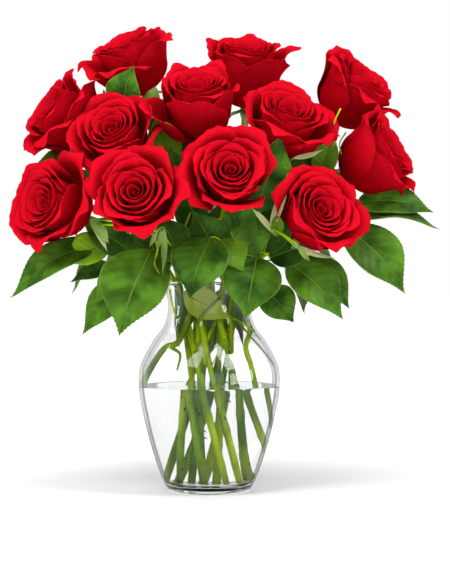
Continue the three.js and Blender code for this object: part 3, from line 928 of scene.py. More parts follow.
    def turned(self, name: str, section: np.ndarray, steps: int) -> bpy.types.Object:
        """Spins a closed section about the vertical axis.

        Args:
            name: The piece's name.
            section: Radius and height in millimetres, from the axis round to the axis.
            steps: How many steps the spin takes.

        Returns:
            The closed solid.
        """
        self.clear_selection()
        bpy.ops.mesh.primitive_circle_add(vertices=len(section), radius=1.0)
        piece = self.named(bpy.context.active_object, name)
        flat = np.column_stack([section[:, 0], np.zeros(len(section)), section[:, 1]]) * MM
        self.shape(piece, flat)
        closing = {0, len(section) - 1}
        piece.data.vertices.foreach_set("select", [False] * len(section))
        for edge in piece.data.edges:
            edge.select = set(edge.vertices) == closing
        bpy.context.tool_settings.mesh_select_mode = (False, True, False)
        bpy.ops.object.mode_set(mode="EDIT")
        bpy.ops.mesh.delete(type="EDGE")
        bpy.ops.mesh.select_all(action="SELECT")
        bpy.ops.mesh.spin(steps=steps, angle=math.tau, center=(0, 0, 0), axis=(0, 0, 1))
        bpy.ops.object.mode_set(mode="OBJECT")
        self.mend(piece, 2e-5)
        bpy.ops.object.shade_smooth()
        return piece

    def swept(self, name: str, rings: list[tuple[float, float]], sides: int) -> bpy.types.Object:
        """Extrudes a disc upwards through rings of other radii and smooths it.

        Args:
            name: The piece's name.
            rings: Height and radius of each ring in millimetres, from the lowest.
            sides: How many sides the disc has.

        Returns:
            The closed solid.
        """
        self.clear_selection()
        height, radius = rings[0]
        bpy.ops.mesh.primitive_circle_add(vertices=sides, radius=radius * MM, fill_type="NGON",
                                          location=(0, 0, height * MM))
        piece = bpy.context.active_object
        bpy.ops.object.transform_apply(location=True)
        piece.name = name
        bpy.ops.object.mode_set(mode="EDIT")
        bpy.ops.mesh.select_all(action="SELECT")
        for next_height, next_radius in rings[1:]:
            bpy.ops.mesh.extrude_region_move(
                TRANSFORM_OT_translate={"value": (0, 0, (next_height - height) * MM)})
            share = next_radius / radius
            bpy.ops.transform.resize(value=(share, share, 1.0), center_override=(0, 0, next_height * MM))
            height, radius = next_height, next_radius
        bpy.ops.object.mode_set(mode="OBJECT")
        self.mend(piece)
        soft = piece.modifiers.new("soft", "SUBSURF")
        soft.levels = soft.render_levels = 1
        bpy.ops.object.modifier_apply(modifier=soft.name)
        bpy.ops.object.shade_smooth()
        return piece

    def tidy_away(self) -> None:
        """Removes the master grids."""
        for master in self.masters.values():
            bpy.data.objects.remove(master)
        self.masters.clear()


def hand_over(piece: bpy.types.Object, slot: Slot, *nodes: str) -> None:
    """Declares a finished piece.

    Args:
        piece: The piece.
        slot: Not used.
        nodes: The solids that it stands for.
    """
    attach(piece, "root")
    if nodes:
        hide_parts(*nodes)
    LOG.info("%s: %d vertices, %d faces", piece.name, len(piece.data.vertices), len(piece.data.polygons))


# ---- vase and water ---------------------------------------------------------------------------
@dataclass
class Vase:
    """The clear glass vase: flat foot, wide belly, narrow neck, flared rim."""

    bench: Bench
    wall: float = 3.0
    floor: float = 9.0
    cavity_from: float = 20.0
    floor_edge: Outline = ((0.0, 9.0), (22.0, 9.1), (36.0, 9.9), (46.0, 13.4))
    foot: Outline = ((0.0, 0.9), (20.0, 0.9), (31.0, 0.5), (35.0, 0.12), (40.5, 0.12), (44.5, 1.8))
    outline: Outline = ((47.5, 6), (53.5, 20), (62.5, 47), (70.5, 78), (75.8, 108), (74.5, 134), (61.5, 160),
                        (50, 176), (45, 192), (45.4, 207), (48.5, 222))
    steps: int = 112

    RIM_FULLER = 0.15
    RIM_LIFT = 0.4
    RIM_TALLER = 1.1
    RIM_FROM = 0.12
    RIM_POINTS = 7
    # Its edge colour and outlines are painted shade where the wall is seen edge on.
    FINISH = ClearFinish("clear_glass", refraction=1.5, gloss=0.62, ripple=0.00012, ripple_scale=9.0,
                         tint=(0.80, 0.86, 0.88, 1), thickness=3.5, edge=(0.52, 0.54, 0.55, 1),
                         painted_outline_share=0.9)

    def outside(self) -> np.ndarray:
        """Returns the outside from the foot's edge to the rim."""
        return flowing(list(self.outline), 8)

    def cavity(self, distance: float) -> np.ndarray:
        """Returns the hollow's outline, from the middle of its floor to the rim.

        Args:
            distance: How far inside the outside it runs, in millimetres.

        Returns:
            Radius and height in each row.
        """
        walls = square_to(self.outside(), distance)
        walls = walls[self.outside()[:, 1] >= self.cavity_from]
        shift = self.wall - distance
        widest = self.floor_edge[-1][0]
        corner = [(radius + shift * radius / widest, height - shift) for radius, height in self.floor_edge]
        return np.vstack([flowing(corner + [tuple(walls[0])], 5)[:-1], walls])

    def rim(self) -> np.ndarray:
        """Rounds the rim off.

        Returns:
            The crest from the outside to the hollow, in millimetres.
        """
        outside = self.outside()
        middle = (outside[-1] + square_to(outside, self.wall)[-1]) / 2
        turn = np.linspace(self.RIM_FROM, math.pi - self.RIM_FROM, self.RIM_POINTS)
        half = self.wall / 2 + self.RIM_FULLER
        return np.column_stack([middle[0] + half * np.cos(turn),
                                middle[1] + self.RIM_LIFT + half * self.RIM_TALLER * np.sin(turn)])

    def build(self) -> None:
        """Models and dresses the vase."""
        foot, hollow = flowing(list(self.foot), 4), self.cavity(self.wall)
        section = np.vstack([foot, self.outside(), self.rim(), hollow[::-1]])
        piece = self.bench.turned("glass_vase", section, self.steps)
        hand_over(self.bench.dress(piece, self.FINISH.material()), Slot.GLASS, "vase")


@dataclass
class Water:
    """The water, which wets the glass and rises a little at the wall."""

    bench: Bench
    vase: Vase
    level: float = 113.0
    into_glass: float = 0.35
    rise: float = 0.3
    meniscus: Outline = ((0.5, 0.225), (1.4, 0.09), (2.8, 0.05), (5.0, 0.0))

    SKIN = 0.05
    FINISH = ClearFinish("clear_water", refraction=1.333, gloss=0.06, ripple=0.0003, ripple_scale=22.0,
                         tint=(0.88, 0.95, 0.94, 1), thickness=0.6)
    SURFACE = replace(FINISH, name="water_surface", gloss=1.0, shown=0.6)

    def build(self) -> None:
        """Models and dresses the water; the faces of its surface have a finish of their own."""
        walls = self.vase.cavity(self.vase.wall - self.into_glass)
        wet = walls[walls[:, 1] < self.level + self.rise]
        edge = wet[-1][0]
        curve = [(edge - inwards, self.level + height) for inwards, height in self.meniscus]
        flat = [(edge * 0.5, self.level), (0.0, self.level)]
        piece = self.bench.turned("water_body", np.vstack([wet, curve, flat]), self.vase.steps)
        self.bench.dress(piece, self.FINISH.material(), self.SURFACE.material())
        surface_height = (self.level - self.SKIN) * MM
        for face in piece.data.polygons:
            lowest = min(piece.data.vertices[index].co.z for index in face.vertices)
            face.material_index = 1 if lowest > surface_height else 0
        hand_over(piece, Slot.WATER, "water")


# ---- roses ------------------------------------------------------------------------------------
@dataclass(frozen=True)
class Rose:
    """One rose: where its opening stands, how it faces and has opened, and its stem's way.

    The neck and the foot are an angle in degrees and a radius; a foot above the vase's floor has
    its height too. Loose petals are a guard's number and how many degrees further it leans.
    """

    opening: Triple
    faces: Triple
    open: float
    size: float
    draw: int
    neck: tuple[float, float]
    foot: tuple[float, ...]
    unfurled: float = 1.0
    tall: float = 1.0
    loose: tuple[tuple[int, float], ...] = ()

    SEAT = 58.0

    def facing(self) -> Vector:
        """Returns the way that the bloom faces."""
        return unit(self.faces)

    def seat(self) -> Vector:
        """Returns where the bloom sits on its hip, in millimetres."""
        return Vector(self.opening) - self.facing() * self.SEAT * self.size

    def placement(self, scale: float) -> Matrix:
        """Returns the way from the bloom's own place to the vase's, in millimetres."""
        turn = Vector((0, 0, 1)).rotation_difference(self.facing()).to_matrix().to_4x4()
        return Matrix.Translation(self.seat()) @ turn @ Matrix.Scale(scale, 4)


def moved(points: np.ndarray, matrix: Matrix) -> np.ndarray:
    """Moves points by a matrix.

    Args:
        points: One in each row, in millimetres.
        matrix: The matrix.

    Returns:
        The points in metres.
    """
    table = np.array(matrix)
    return (points @ table[:3, :3].T + table[:3, 3]) * MM


@dataclass
class Petal:
    """One petal's form: a cup about the rose's axis whose lip curls outwards.

    Lengths are in millimetres and angles in degrees.
    """

    turn: float
    reach: float
    rise: float
    root: float
    belly: float
    fullness: float
    lift: float
    flare: float
    curl: float
    curl_from: float
    edge_curl: float
    width: float
    widest_at: float
    narrowing: float
    spiral: float
    roll: float
    wave: float
    point: float
    rounding: float
    waves: float
    phase: float
    lean: float = 0.0
    crinkle: float = 0.3
    point_width: float = 0.12
    other_edge: float = 0.3
    crease: float = 0.0

    FOOT = 1.0
    CLAW = 0.06
    FLOW = 150
    LEAST_RADIUS, LEAST_CUP = 0.25, 1.2
    SLOW_CRISP, SLOW_WAVES = 0.006, 3.1
    FAST_CRISP, FAST_WAVES = 0.004, 23
    WAVE_RISE, RISING_WAVES = 0.8, 1.4
    RIPPLES, RIPPLES_ALONG = 17, 9
    RIPPLE_RISE, RISING_RIPPLES = 0.7, 23
    FOLDS, FOLD_DEPTH = 6.5, 0.35

    def _cup(self, share: np.ndarray) -> tuple[np.ndarray, np.ndarray]:
        """Follows the cup alone, before any curl.

        Args:
            share: Shares of its length.

        Returns:
            Radius and height.
        """
        filled = np.sin(math.pi / 2 * np.clip(share / self.belly, 0, 1)) ** self.fullness
        flared = self.flare * np.maximum(0, share - self.belly)
        radius = self.root + (self.reach - self.root) * filled + flared
        return radius, self.rise * np.maximum(share, 0) ** self.lift

    def _lip(self, across: np.ndarray) -> np.ndarray:
        """Works out how long the petal is: rounded off, pointed in the middle and crisp.

        Args:
            across: From -1 to 1.

        Returns:
            The length as a share.
        """
        side = np.abs(across)
        crisp = self.SLOW_CRISP * np.sin(across * self.waves * self.SLOW_WAVES + self.phase * 3)
        crisp += self.FAST_CRISP * np.sin(across * self.FAST_WAVES + self.phase)
        pointed = self.point * np.exp(-((side / self.point_width) ** 1.5))
        return 1 - self.rounding * side ** 2.3 + pointed + crisp * self.crinkle

    def _flow(self, across: np.ndarray, along: np.ndarray) -> tuple[np.ndarray, np.ndarray]:
        """Follows the cup from the petal's foot, turning outwards where the lip curls.

        Args:
            across: From -1 to 1.
            along: From 0 at the foot to 1 at the lip.

        Returns:
            Radius and height.
        """
        edge = self.edge_curl * np.abs(across) ** 3 * np.where(across > 0, 1.0, self.other_edge)
        curl_from = self.curl_from - edge
        step = (along * self._lip(across)) / self.FLOW
        radius = np.full(len(across), float(self.root))
        height = np.full(len(across), self.FOOT)
        before_radius, before_height = self._cup(np.zeros(len(across)))
        for index in range(self.FLOW):
            share = (index + 0.5) * step
            after_radius, after_height = self._cup((index + 1) * step)
            flow_radius, flow_height = after_radius - before_radius, after_height - before_height
            before_radius, before_height = after_radius, after_height
            curled = np.clip((share - curl_from) / (1 - curl_from), 0, 1.3) ** 1.3
            angle = np.arctan2(flow_height, flow_radius) - np.radians(self.curl) * curled
            run = np.hypot(flow_radius, flow_height)
            radius += np.cos(angle) * run
            height += np.sin(angle) * run
        return radius, height

    def points(self, across: np.ndarray, along: np.ndarray) -> np.ndarray:
        """Places the petal's points about the rose's axis.

        Args:
            across: From -1 to 1.
            along: From 0 at the foot to 1 at the lip.

        Returns:
            One point in each row, in millimetres.
        """
        side = np.abs(across)
        radius, height = self._flow(across, along)
        opened = self.CLAW + (1 - self.CLAW) * np.sin(math.pi / 2 * np.minimum(1, along / self.widest_at))
        past = np.maximum(0, (along - self.widest_at) / (1 - self.widest_at))
        half_width = self.width * opened * (1 - self.narrowing * past ** 2)
        swing = across * half_width / np.maximum(self._cup(along)[0], self.LEAST_CUP)
        rim = np.maximum(along ** 4, side ** 4 * smooth_share(along * 1.5))
        radius += self.spiral * swing * smooth_share(along * 5)
        radius += self.roll * side ** 3 * smooth_share((along - 0.25) * 1.6)
        radius += self.wave * np.sin(self.waves * across + self.phase + 2 * along) * rim
        rising = np.cos(self.waves * self.RISING_WAVES * across + self.phase * 2)
        height += self.wave * self.WAVE_RISE * rising * rim
        radius += self.crease * (1 - side) * along ** 4
        fine = np.maximum(along ** 12, side ** 10 * smooth_share(along * 1.5))
        ripple = np.sin(self.RIPPLES * across + 3 * self.phase + self.RIPPLES_ALONG * along)
        radius += self.crinkle * ripple * fine
        rising = np.cos(self.RISING_RIPPLES * across + self.phase)
        height += self.crinkle * self.RIPPLE_RISE * rising * fine
        folds = np.sin(self.FOLDS * across + self.phase) * np.sin(math.pi * along) * self.FOLD_DEPTH
        radius = np.maximum(radius + folds * self.crinkle, self.LEAST_RADIUS)
        angle = np.radians(self.turn) + swing
        points = np.column_stack([radius * np.cos(angle), radius * np.sin(angle), height])
        return self._leant(points)

    def _leant(self, points: np.ndarray) -> np.ndarray:
        """Leans points outwards about the petal's foot.

        Args:
            points: One in each row, in millimetres.

        Returns:
            The leant points.
        """
        lean, turn = math.radians(self.lean), math.radians(self.turn)
        axis = Vector((-math.sin(turn), math.cos(turn), 0))
        matrix = np.array(Quaternion(axis, lean).to_matrix())
        foot = np.array([0, 0, self.FOOT])
        return (points - foot) @ matrix.T + foot


@dataclass
class Bloom:
    """A rose bloom: heart, middle and guard petals, each ring round the one before."""

    bench: Bench
    rose: Rose
    name: str
    node: str
    finish: bpy.types.Material
    height: float = 60.0
    thickness: float = 0.5
    columns: int = 24
    rows: int = 32
    tucked_from: int = 4

    OWN_DRAW = 500
    LIP_FINENESS = 1.35

    def petals(self) -> list[Petal]:
        """Lists the petals as the solids' own rule does, and the extra ones of the heart.

        Returns:
            The petals, ring by ring from the heart outwards.
        """
        draw, own = Draw(self.rose.draw), Draw(self.rose.draw + self.OWN_DRAW)
        turn = draw.next() * FULL_CIRCLE
        petals = []
        for ring, rule in zip(Ring, (self.heart_petal, self.middle_petal, self.guard_petal)):
            made = []
            for index in range(ring.count):
                made.append(rule(index, turn, draw, own))
                turn += ring.turn + draw.around(ring.turn_spread)
            petals += made
            if ring is Ring.HEART:
                petals += [self.tucked_in(petal, own) for petal in made[self.tucked_from:]]
        return petals

    def heart_petal(self, index: int, turn: float, draw: Draw, own: Draw) -> Petal:
        """Draws a petal of the tight heart.

        Args:
            index: Its number in the ring.
            turn: The way it stands, in degrees.
            draw: The draw that the solids have too.
            own: The draw of this script alone.

        Returns:
            The petal.
        """
        place, opened, height = Ring.HEART.share(index), self.rose.open, self.height * self.rose.tall
        swell = math.sin(math.pi / 2 * min(1, place * 1.4))
        rise = height * (0.79 + 0.17 * swell) - 3 * opened * (1 - place) + draw.around(0.9)
        curl = 20 + 50 * place + draw.around(10)
        waves, phase = 5 + draw.around(1), draw.next() * 6
        return Petal(
            turn=turn, reach=2.2 + (21 + 3 * opened) * place ** 1.05, rise=rise, root=0.8 + 1.8 * place,
            belly=0.55 - 0.1 * place, fullness=1, lift=1.05 + 0.1 * place, flare=2 * place, curl=curl,
            curl_from=0.9 - 0.05 * place, edge_curl=0.08, width=9 + 24 * place, widest_at=0.55,
            narrowing=0.15, spiral=0.55 + 0.5 * place, roll=0, wave=0.25 + 0.5 * place, point=0.005,
            rounding=0.1 + 0.05 * place, waves=waves, phase=phase, crinkle=0.2 + 0.2 * place,
            crease=(0.2 + own.next()) * place)

    def middle_petal(self, index: int, turn: float, draw: Draw, own: Draw) -> Petal:
        """Draws a petal of the ring between the heart and the guards.

        Args:
            index: Its number in the ring.
            turn: The way it stands, in degrees.
            draw: The draw that the solids have too.
            own: The draw of this script alone.

        Returns:
            The petal.
        """
        place, opened = Ring.MIDDLE.share(index), self.rose.open
        rise = self.height * self.rose.tall * (0.955 - 0.02 * place) + draw.around(1)
        curl = 62 + 20 * place + draw.around(12) + 10 * opened
        waves, phase = 5 + draw.around(1), draw.next() * 6
        return Petal(
            turn=turn, reach=25 + 1.5 * place + opened, rise=rise, root=3, belly=0.5, fullness=0.95,
            lift=1.18, flare=6 + 3 * opened, curl=curl, curl_from=0.90 - 0.02 * place,
            edge_curl=0.18 + 0.04 * place,
            width=35 + place, widest_at=0.62, narrowing=0.2, spiral=2.4, roll=0.8 + 1.2 * place, wave=0.9,
            point=0.04, rounding=0.14, waves=waves, phase=phase, crinkle=0.5, point_width=0.25,
            other_edge=0.3 + own.next() * 0.5, crease=1.0 + own.next() * 1.5)

    def guard_petal(self, index: int, turn: float, draw: Draw, own: Draw) -> Petal:
        """Draws a broad outer petal, which hugs the bloom until the rose unfurls.

        Args:
            index: Its number in the ring.
            turn: The way it stands, in degrees.
            draw: The draw that the solids have too.
            own: The draw of this script alone.

        Returns:
            The petal.
        """
        place, opened, folded = Ring.GUARD.share(index), self.rose.open, 1 - self.rose.unfurled
        rise = self.height * self.rose.tall * (0.93 - 0.04 * place) + draw.around(1.5)
        curl = (84 + 22 * place + draw.around(15) + 10 * opened) * self.rose.unfurled
        waves, phase = 5 + draw.around(1), draw.next() * 6
        return Petal(
            turn=turn, reach=31 + 1.5 * place + 1.5 * opened - 3 * folded, rise=rise, root=3.2, belly=0.52,
            fullness=0.92, lift=1.26, flare=(10 + 9 * opened) * (1 - folded), curl=curl,
            curl_from=0.87 - 0.03 * place + 0.08 * folded,
            edge_curl=0.26 + 0.06 * place + own.next() * 0.08, width=36, widest_at=0.64,
            narrowing=0.20 + own.next() * 0.08, spiral=2.6, roll=2 + 2 * place, wave=1.0 + own.next() * 0.8,
            point=0.06 + own.next() * 0.07, rounding=0.12, waves=waves, phase=phase,
            lean=(2 + 5 * place) * opened + own.around(3.5) * self.rose.unfurled
            + dict(self.rose.loose).get(index, 0.0), crinkle=0.6, point_width=0.22 + own.next() * 0.16,
            other_edge=0.35 + own.next() * 0.6, crease=1.5 + own.next() * 3.0)

    def tucked_in(self, petal: Petal, own: Draw) -> Petal:
        """Fills the gap outside one of the heart's petals, from its other side.

        Args:
            petal: The heart's petal.
            own: The draw of this script alone.

        Returns:
            The extra petal.
        """
        return replace(petal, turn=petal.turn + 180 + own.around(24), reach=petal.reach + 0.95,
                       rise=petal.rise - 0.8 + own.around(0.9), phase=own.next() * 6,
                       curl=petal.curl + 8 + own.around(9), crease=own.next() * 1.2)

    def build(self) -> None:
        """Models and dresses the bloom; the inner petals carry a lower value, which the finish paints darker
        as shade in the heart.
        """
        matrix = self.rose.placement(self.rose.size)
        sheets = []
        for petal in self.petals():
            sheet = self.bench.grid(self.name, self.columns, self.rows)
            across, along = self.bench.shares(sheet)
            along = 1 - (1 - along) ** self.LIP_FINENESS
            self.bench.shape(sheet, moved(petal.points(across, along), matrix))
            # Lower on the inner petals, so that the heart is painted darker as shade
            self.bench.carry(sheet, "tone", min(1.0, 1.15 * petal.reach / 24.0))
            sheets.append(sheet)
        piece = self.bench.dress(self.bench.join(self.name, sheets), self.finish)
        self.bench.thicken(piece, self.thickness)
        hand_over(piece, Slot.PETALS, self.node)


@dataclass
class StemRoute:
    """The way of a stem: straight from its foot to the vase's neck, then bending to its bloom."""

    rose: Rose
    neck_height: float = 200.0
    floor: float = 9.0
    radius: float = 3.3
    clearance: float = 0.3
    hip_length: float = 14.0
    pull: float = 0.38

    STRAIGHT_POINTS = 26
    BEND_POINTS = 34
    SAMPLES = 61

    def _ring(self, place: tuple[float, float], height: float) -> np.ndarray:
        """Returns a point by its angle, radius and height."""
        turn = math.radians(place[0])
        return np.array([place[1] * math.cos(turn), place[1] * math.sin(turn), height])

    def foot(self) -> np.ndarray:
        """Works out where the stem stands.

        Returns:
            The middle of its lower end.
        """
        raised = len(self.rose.foot) > 2
        foot = self._ring(self.rose.foot, self.rose.foot[2] if raised else self.floor)
        if not raised:
            along = self.neck() - foot
            along /= np.linalg.norm(along)
            foot[2] += self.clearance + self.radius * math.sqrt(1 - along[2] ** 2)
        return foot

    def neck(self) -> np.ndarray:
        """Returns where the stem passes the neck."""
        return self._ring(self.rose.neck, self.neck_height)

    def bend(self, shares: np.ndarray) -> np.ndarray:
        """Returns points of the bend from the neck to the hip.

        Args:
            shares: From 0 at the neck to 1 at the hip.

        Returns:
            One point in each row.
        """
        neck, foot, facing = self.neck(), self.foot(), np.array(self.rose.facing())
        along = (neck - foot) / np.linalg.norm(neck - foot)
        top = np.array(self.rose.seat()) - facing * self.hip_length * 0.6
        reach = np.linalg.norm(top - neck) * self.pull
        corners = [neck, neck + along * reach, top - facing * reach, top]
        share = shares[:, None]
        weights = [(1 - share) ** 3, 3 * share * (1 - share) ** 2, 3 * share ** 2 * (1 - share), share ** 3]
        return sum(weight * corner for weight, corner in zip(weights, corners))

    def line(self) -> np.ndarray:
        """Follows the whole way.

        Returns:
            One point in each row, foot first.
        """
        shares = np.linspace(0, 1, self.STRAIGHT_POINTS)[:-1, None]
        straight = self.foot() + (self.neck() - self.foot()) * shares
        return np.vstack([straight, self.bend(np.linspace(0, 1, self.BEND_POINTS))])

    def at_height(self, height: float) -> np.ndarray:
        """Returns the bend's point nearest to a height."""
        points = self.bend(np.linspace(0, 1, self.SAMPLES))
        return points[np.argmin(np.abs(points[:, 2] - height))]


@dataclass
class Stem:
    """A stem with its joints and thorns, the hip on its end and the sepals under the bloom."""

    bench: Bench
    rose: Rose
    name: str
    bark: bpy.types.Material
    green: list[bpy.types.Material]
    foot_radius: float = 3.35
    taper: float = 0.6
    joint_swell: float = 0.55
    joint_length: float = 3.2
    thorn_count: int = 5
    thorn_radii: tuple[float, float] = (1.7, 0.12)
    sepal_count: int = 5
    sepal_length: float = 30.0
    sepal_width: float = 9.0
    sepal_thickness: float = 0.5
    sepal_tone: float = 0.32
    droop: float = 42.0
    spread: float = 14.0

    JOINT_DRAW, THORN_DRAW, SEPAL_DRAW = 200, 300, 50
    FIRST_JOINT, NEXT_JOINT = (18, 20), (34, 22)
    BARE_END = 30
    THORN_POINTS = 6
    THORNS_FROM, THORNS_SHORT_OF = 4, 14
    THORN_ROOT, THORN_REACH, THORN_HOOK = 1.5, 5.2, 1.8
    SEPAL_GRID = (6, 18)
    SEPAL_BOW, SEPAL_HOLLOW = 5.0, 1.2
    SEPAL_ROOT = (4.0, -3.0)
    LOBE, LOBES, LOBE_FROM = 0.35, 19, 0.9
    HIP_RINGS = [(-15.0, 2.5), (-12.5, 2.9), (-9.5, 4.4), (-5.5, 5.7), (-2.0, 5.2), (0.6, 4.5), (2.4, 4.6)]
    HIP_SIDES = 12

    def tube(self) -> bpy.types.Object:
        """Draws the stem itself, thicker at each joint.

        Returns:
            The tube.
        """
        draw = Draw(self.rose.draw + self.JOINT_DRAW)
        line = StemRoute(self.rose).line()
        run = np.concatenate([[0], np.cumsum(np.linalg.norm(np.diff(line, axis=0), axis=1))])
        radii = self.foot_radius - self.taper * run / run[-1]
        at = self.FIRST_JOINT[0] + draw.next() * self.FIRST_JOINT[1]
        while at < run[-1] - self.BARE_END:
            radii = radii + self.joint_swell * np.exp(-((run - at) / self.joint_length) ** 2)
            at += self.NEXT_JOINT[0] + draw.next() * self.NEXT_JOINT[1]
        return self.bench.tube(self.name, line, radii, 3)

    def thorns(self) -> list[bpy.types.Object]:
        """Draws the thorns, each a small hooked cone.

        Returns:
            The thorns.
        """
        draw = Draw(self.rose.draw + self.THORN_DRAW)
        line = StemRoute(self.rose).line()
        shares = np.linspace(0, 1, self.THORN_POINTS)[:, None]
        thorns = []
        for _ in range(self.thorn_count):
            index = int(self.THORNS_FROM + draw.next() * (len(line) - self.THORNS_SHORT_OF))
            along = line[index + 1] - line[index]
            along /= np.linalg.norm(along)
            out = np.array([math.cos(draw.next() * 6.28), math.sin(draw.next() * 6.28), 0.0])
            out -= along * (out @ along)
            out /= np.linalg.norm(out)
            reach = self.THORN_ROOT + self.THORN_REACH * shares
            points = line[index] + out * reach - along * self.THORN_HOOK * shares ** 2
            radii = np.linspace(*self.thorn_radii, self.THORN_POINTS)
            thorns.append(self.bench.tube(self.name, points, radii, 1))
        return thorns

    def hip(self) -> bpy.types.Object:
        """Models the swollen hip under the bloom.

        Returns:
            The hip in its place.
        """
        piece = self.bench.swept(self.name, self.HIP_RINGS, self.HIP_SIDES)
        self.bench.shape(piece, moved(self.bench.places(piece) / MM, self.rose.placement(1.0)))
        return piece

    def sepals(self) -> list[bpy.types.Object]:
        """Draws the sepals, narrow tapering blades that arch out and down.

        Returns:
            Their sheets.
        """
        draw = Draw(self.rose.draw + self.SEPAL_DRAW)
        matrix = self.rose.placement(1.0)
        sepals = []
        for index in range(self.sepal_count):
            turn = math.radians(index / self.sepal_count * FULL_CIRCLE + draw.around(self.spread))
            droop = math.radians(self.droop + draw.around(self.spread))
            sheet = self.bench.grid(self.name, *self.SEPAL_GRID)
            across, along = self.bench.shares(sheet)
            bow = self.SEPAL_BOW * np.sin(math.pi * along)
            run = self.sepal_length * along
            reach = self.SEPAL_ROOT[0] + run * math.cos(droop) + bow * math.sin(droop)
            height = self.SEPAL_ROOT[1] - run * math.sin(droop) + bow * math.cos(droop)
            lobe = np.maximum(0, np.sin(along * self.LOBES + index)) * (np.abs(across) > self.LOBE_FROM)
            half = self.sepal_width / 2 * (1 - along) ** 0.75 * (0.75 + 0.5 * along)
            sideways = across * (half * (1 + self.LOBE * lobe) + 0.25)
            height = height + self.SEPAL_HOLLOW * (1 - across ** 2) * (1 - along)
            points = np.column_stack([
                reach * math.cos(turn) - sideways * math.sin(turn),
                reach * math.sin(turn) + sideways * math.cos(turn), height])
            self.bench.shape(sheet, moved(points, matrix))
            self.bench.carry(sheet, "tone", self.sepal_tone)
            sepals.append(sheet)
        return sepals

    def build(self) -> list[bpy.types.Object]:
        """Models and dresses the stem.

        Returns:
            The stem with its hip, and the sepals.
        """
        wood = self.bench.join(self.name, [self.tube(), self.hip(), *self.thorns()])
        blades = self.bench.join(self.name + "_sepals", self.sepals())
        self.bench.dress(wood, self.bark)
        self.bench.dress(blades, *self.green)
        self.bench.thicken(blades, self.sepal_thickness, 1)
        return [wood, blades]


# ---- leaves -----------------------------------------------------------------------------------
@dataclass(frozen=True)
class Leaflet:
    """One leaflet: its base, tip and width, the way its upper side faces, how it is turned, and its tone:
    above 0 younger and paler, below 0 painted darker as shade.
    """

    base: Triple
    tip: Triple
    width: float
    faces: Optional[Triple] = None
    bend: tuple[float, float] = (0.0, 0.0)
    tone: float = 0.0

    FOLD = 0.32
    ARCH = 0.1
    TIP_DROOP = 0.05
    BLUNT, POINTED, POINTED_FROM = 0.72, 0.62, 0.45
    WIDEST = 0.78
    TOOTH, TOOTH_RISE, TOOTH_LEAN = 0.014, 1.25, 0.4
    PLAIN_TIP = 0.97
    QUILT = 0.010
    WAVE = 0.026
    RIB_POINTS = 12
    RIB_END = 0.9
    RIB_UNDER = 0.35

    def facing(self) -> Vector:
        """Works out the way that the upper side looks: up and away unless given.

        Returns:
            The direction.
        """
        if self.faces:
            return unit(self.faces)
        middle = Vector(self.base) + Vector(self.tip)
        return unit((middle.x, middle.y, 0)) * 0.75 + Vector((0, 0, 0.65))

    def axes(self) -> tuple[np.ndarray, np.ndarray, np.ndarray, float]:
        """Works out how the blade lies.

        Returns:
            The directions along, across and out of it, and its length.
        """
        run = Vector(self.tip) - Vector(self.base)
        facing = self.facing()
        level = run.cross(Vector((0, 0, 1))).normalized()
        sideways, upwards = map(math.radians, self.bend)
        turn = Quaternion((0, 0, 1), sideways) @ Quaternion(level, upwards)
        run.rotate(turn)
        facing.rotate(turn)
        along = run.normalized()
        across = along.cross(facing).normalized()
        return np.array(along), np.array(across), np.array(across.cross(along).normalized()), run.length

    def arch(self, share: np.ndarray, length: float) -> np.ndarray:
        """Returns how high the midrib rises at shares of a length, and how its tip droops."""
        rise = length * self.ARCH * 16 * (share * (1 - share)) ** 2
        return rise - self.TIP_DROOP * length * smooth_share((share - 0.6) / 0.4) ** 2

    def points(self, across: np.ndarray, along: np.ndarray, draw: Draw, teeth: int) -> np.ndarray:
        """Places the blade's points.

        Args:
            across: From -1 to 1.
            along: From 0 at the base to 1 at the tip.
            draw: The draw of its waves.
            teeth: Teeth on each side.

        Returns:
            One point in each row, in millimetres.
        """
        forward, sideways, out, length = self.axes()
        side = np.abs(across)
        taper = self.BLUNT + self.POINTED * smooth_share((along - self.POINTED_FROM) / 0.5)
        swell = np.sin(math.pi * np.clip(along, 0, 1) ** self.WIDEST)
        outline = np.maximum(swell, 0) ** taper / 2 * self.width
        rising = np.minimum(np.mod(along * teeth, 1.0) * self.TOOTH_RISE, 1.0)
        tooth = np.where(along < self.PLAIN_TIP, rising, 0.0) * smooth_share(along * 6)
        reach = outline * side * np.sign(across)
        reach += np.sign(across) * side ** 8 * tooth * self.TOOTH * self.width * (outline > 0.5)
        forwards = along * length + side ** 8 * tooth * self.TOOTH_LEAN
        share = np.clip(along, 0, 1)
        lift = np.abs(reach) * self.FOLD * (1 - 0.35 * side)
        vein = np.mod(vein_phase(along, side, across > 0), 1.0)
        inner = smooth_share(side * 3) * smooth_share((1.02 - side) * 5)
        quilt = (0.5 - 0.5 * np.cos(2 * math.pi * vein)) * inner * self.QUILT
        waving = np.sin(along * (7 + 3 * draw.next()) + draw.next() * 6 + np.where(across > 0, 0, 1.7))
        wave = waving * side ** 2 * np.sin(math.pi * share) * self.WAVE
        lift = lift + (quilt + wave) * self.width + self.arch(share, length)
        base = np.array(self.base)
        return base + np.outer(forwards, forward) + np.outer(reach, sideways) + np.outer(lift, out)

    def rib_line(self) -> np.ndarray:
        """Follows the midrib on the underside.

        Returns:
            One point in each row.
        """
        forward, _, out, length = self.axes()
        share = np.linspace(0, self.RIB_END, self.RIB_POINTS)
        lift = self.arch(share, length) - self.RIB_UNDER
        return np.array(self.base) + np.outer(share * length, forward) + np.outer(lift, out)


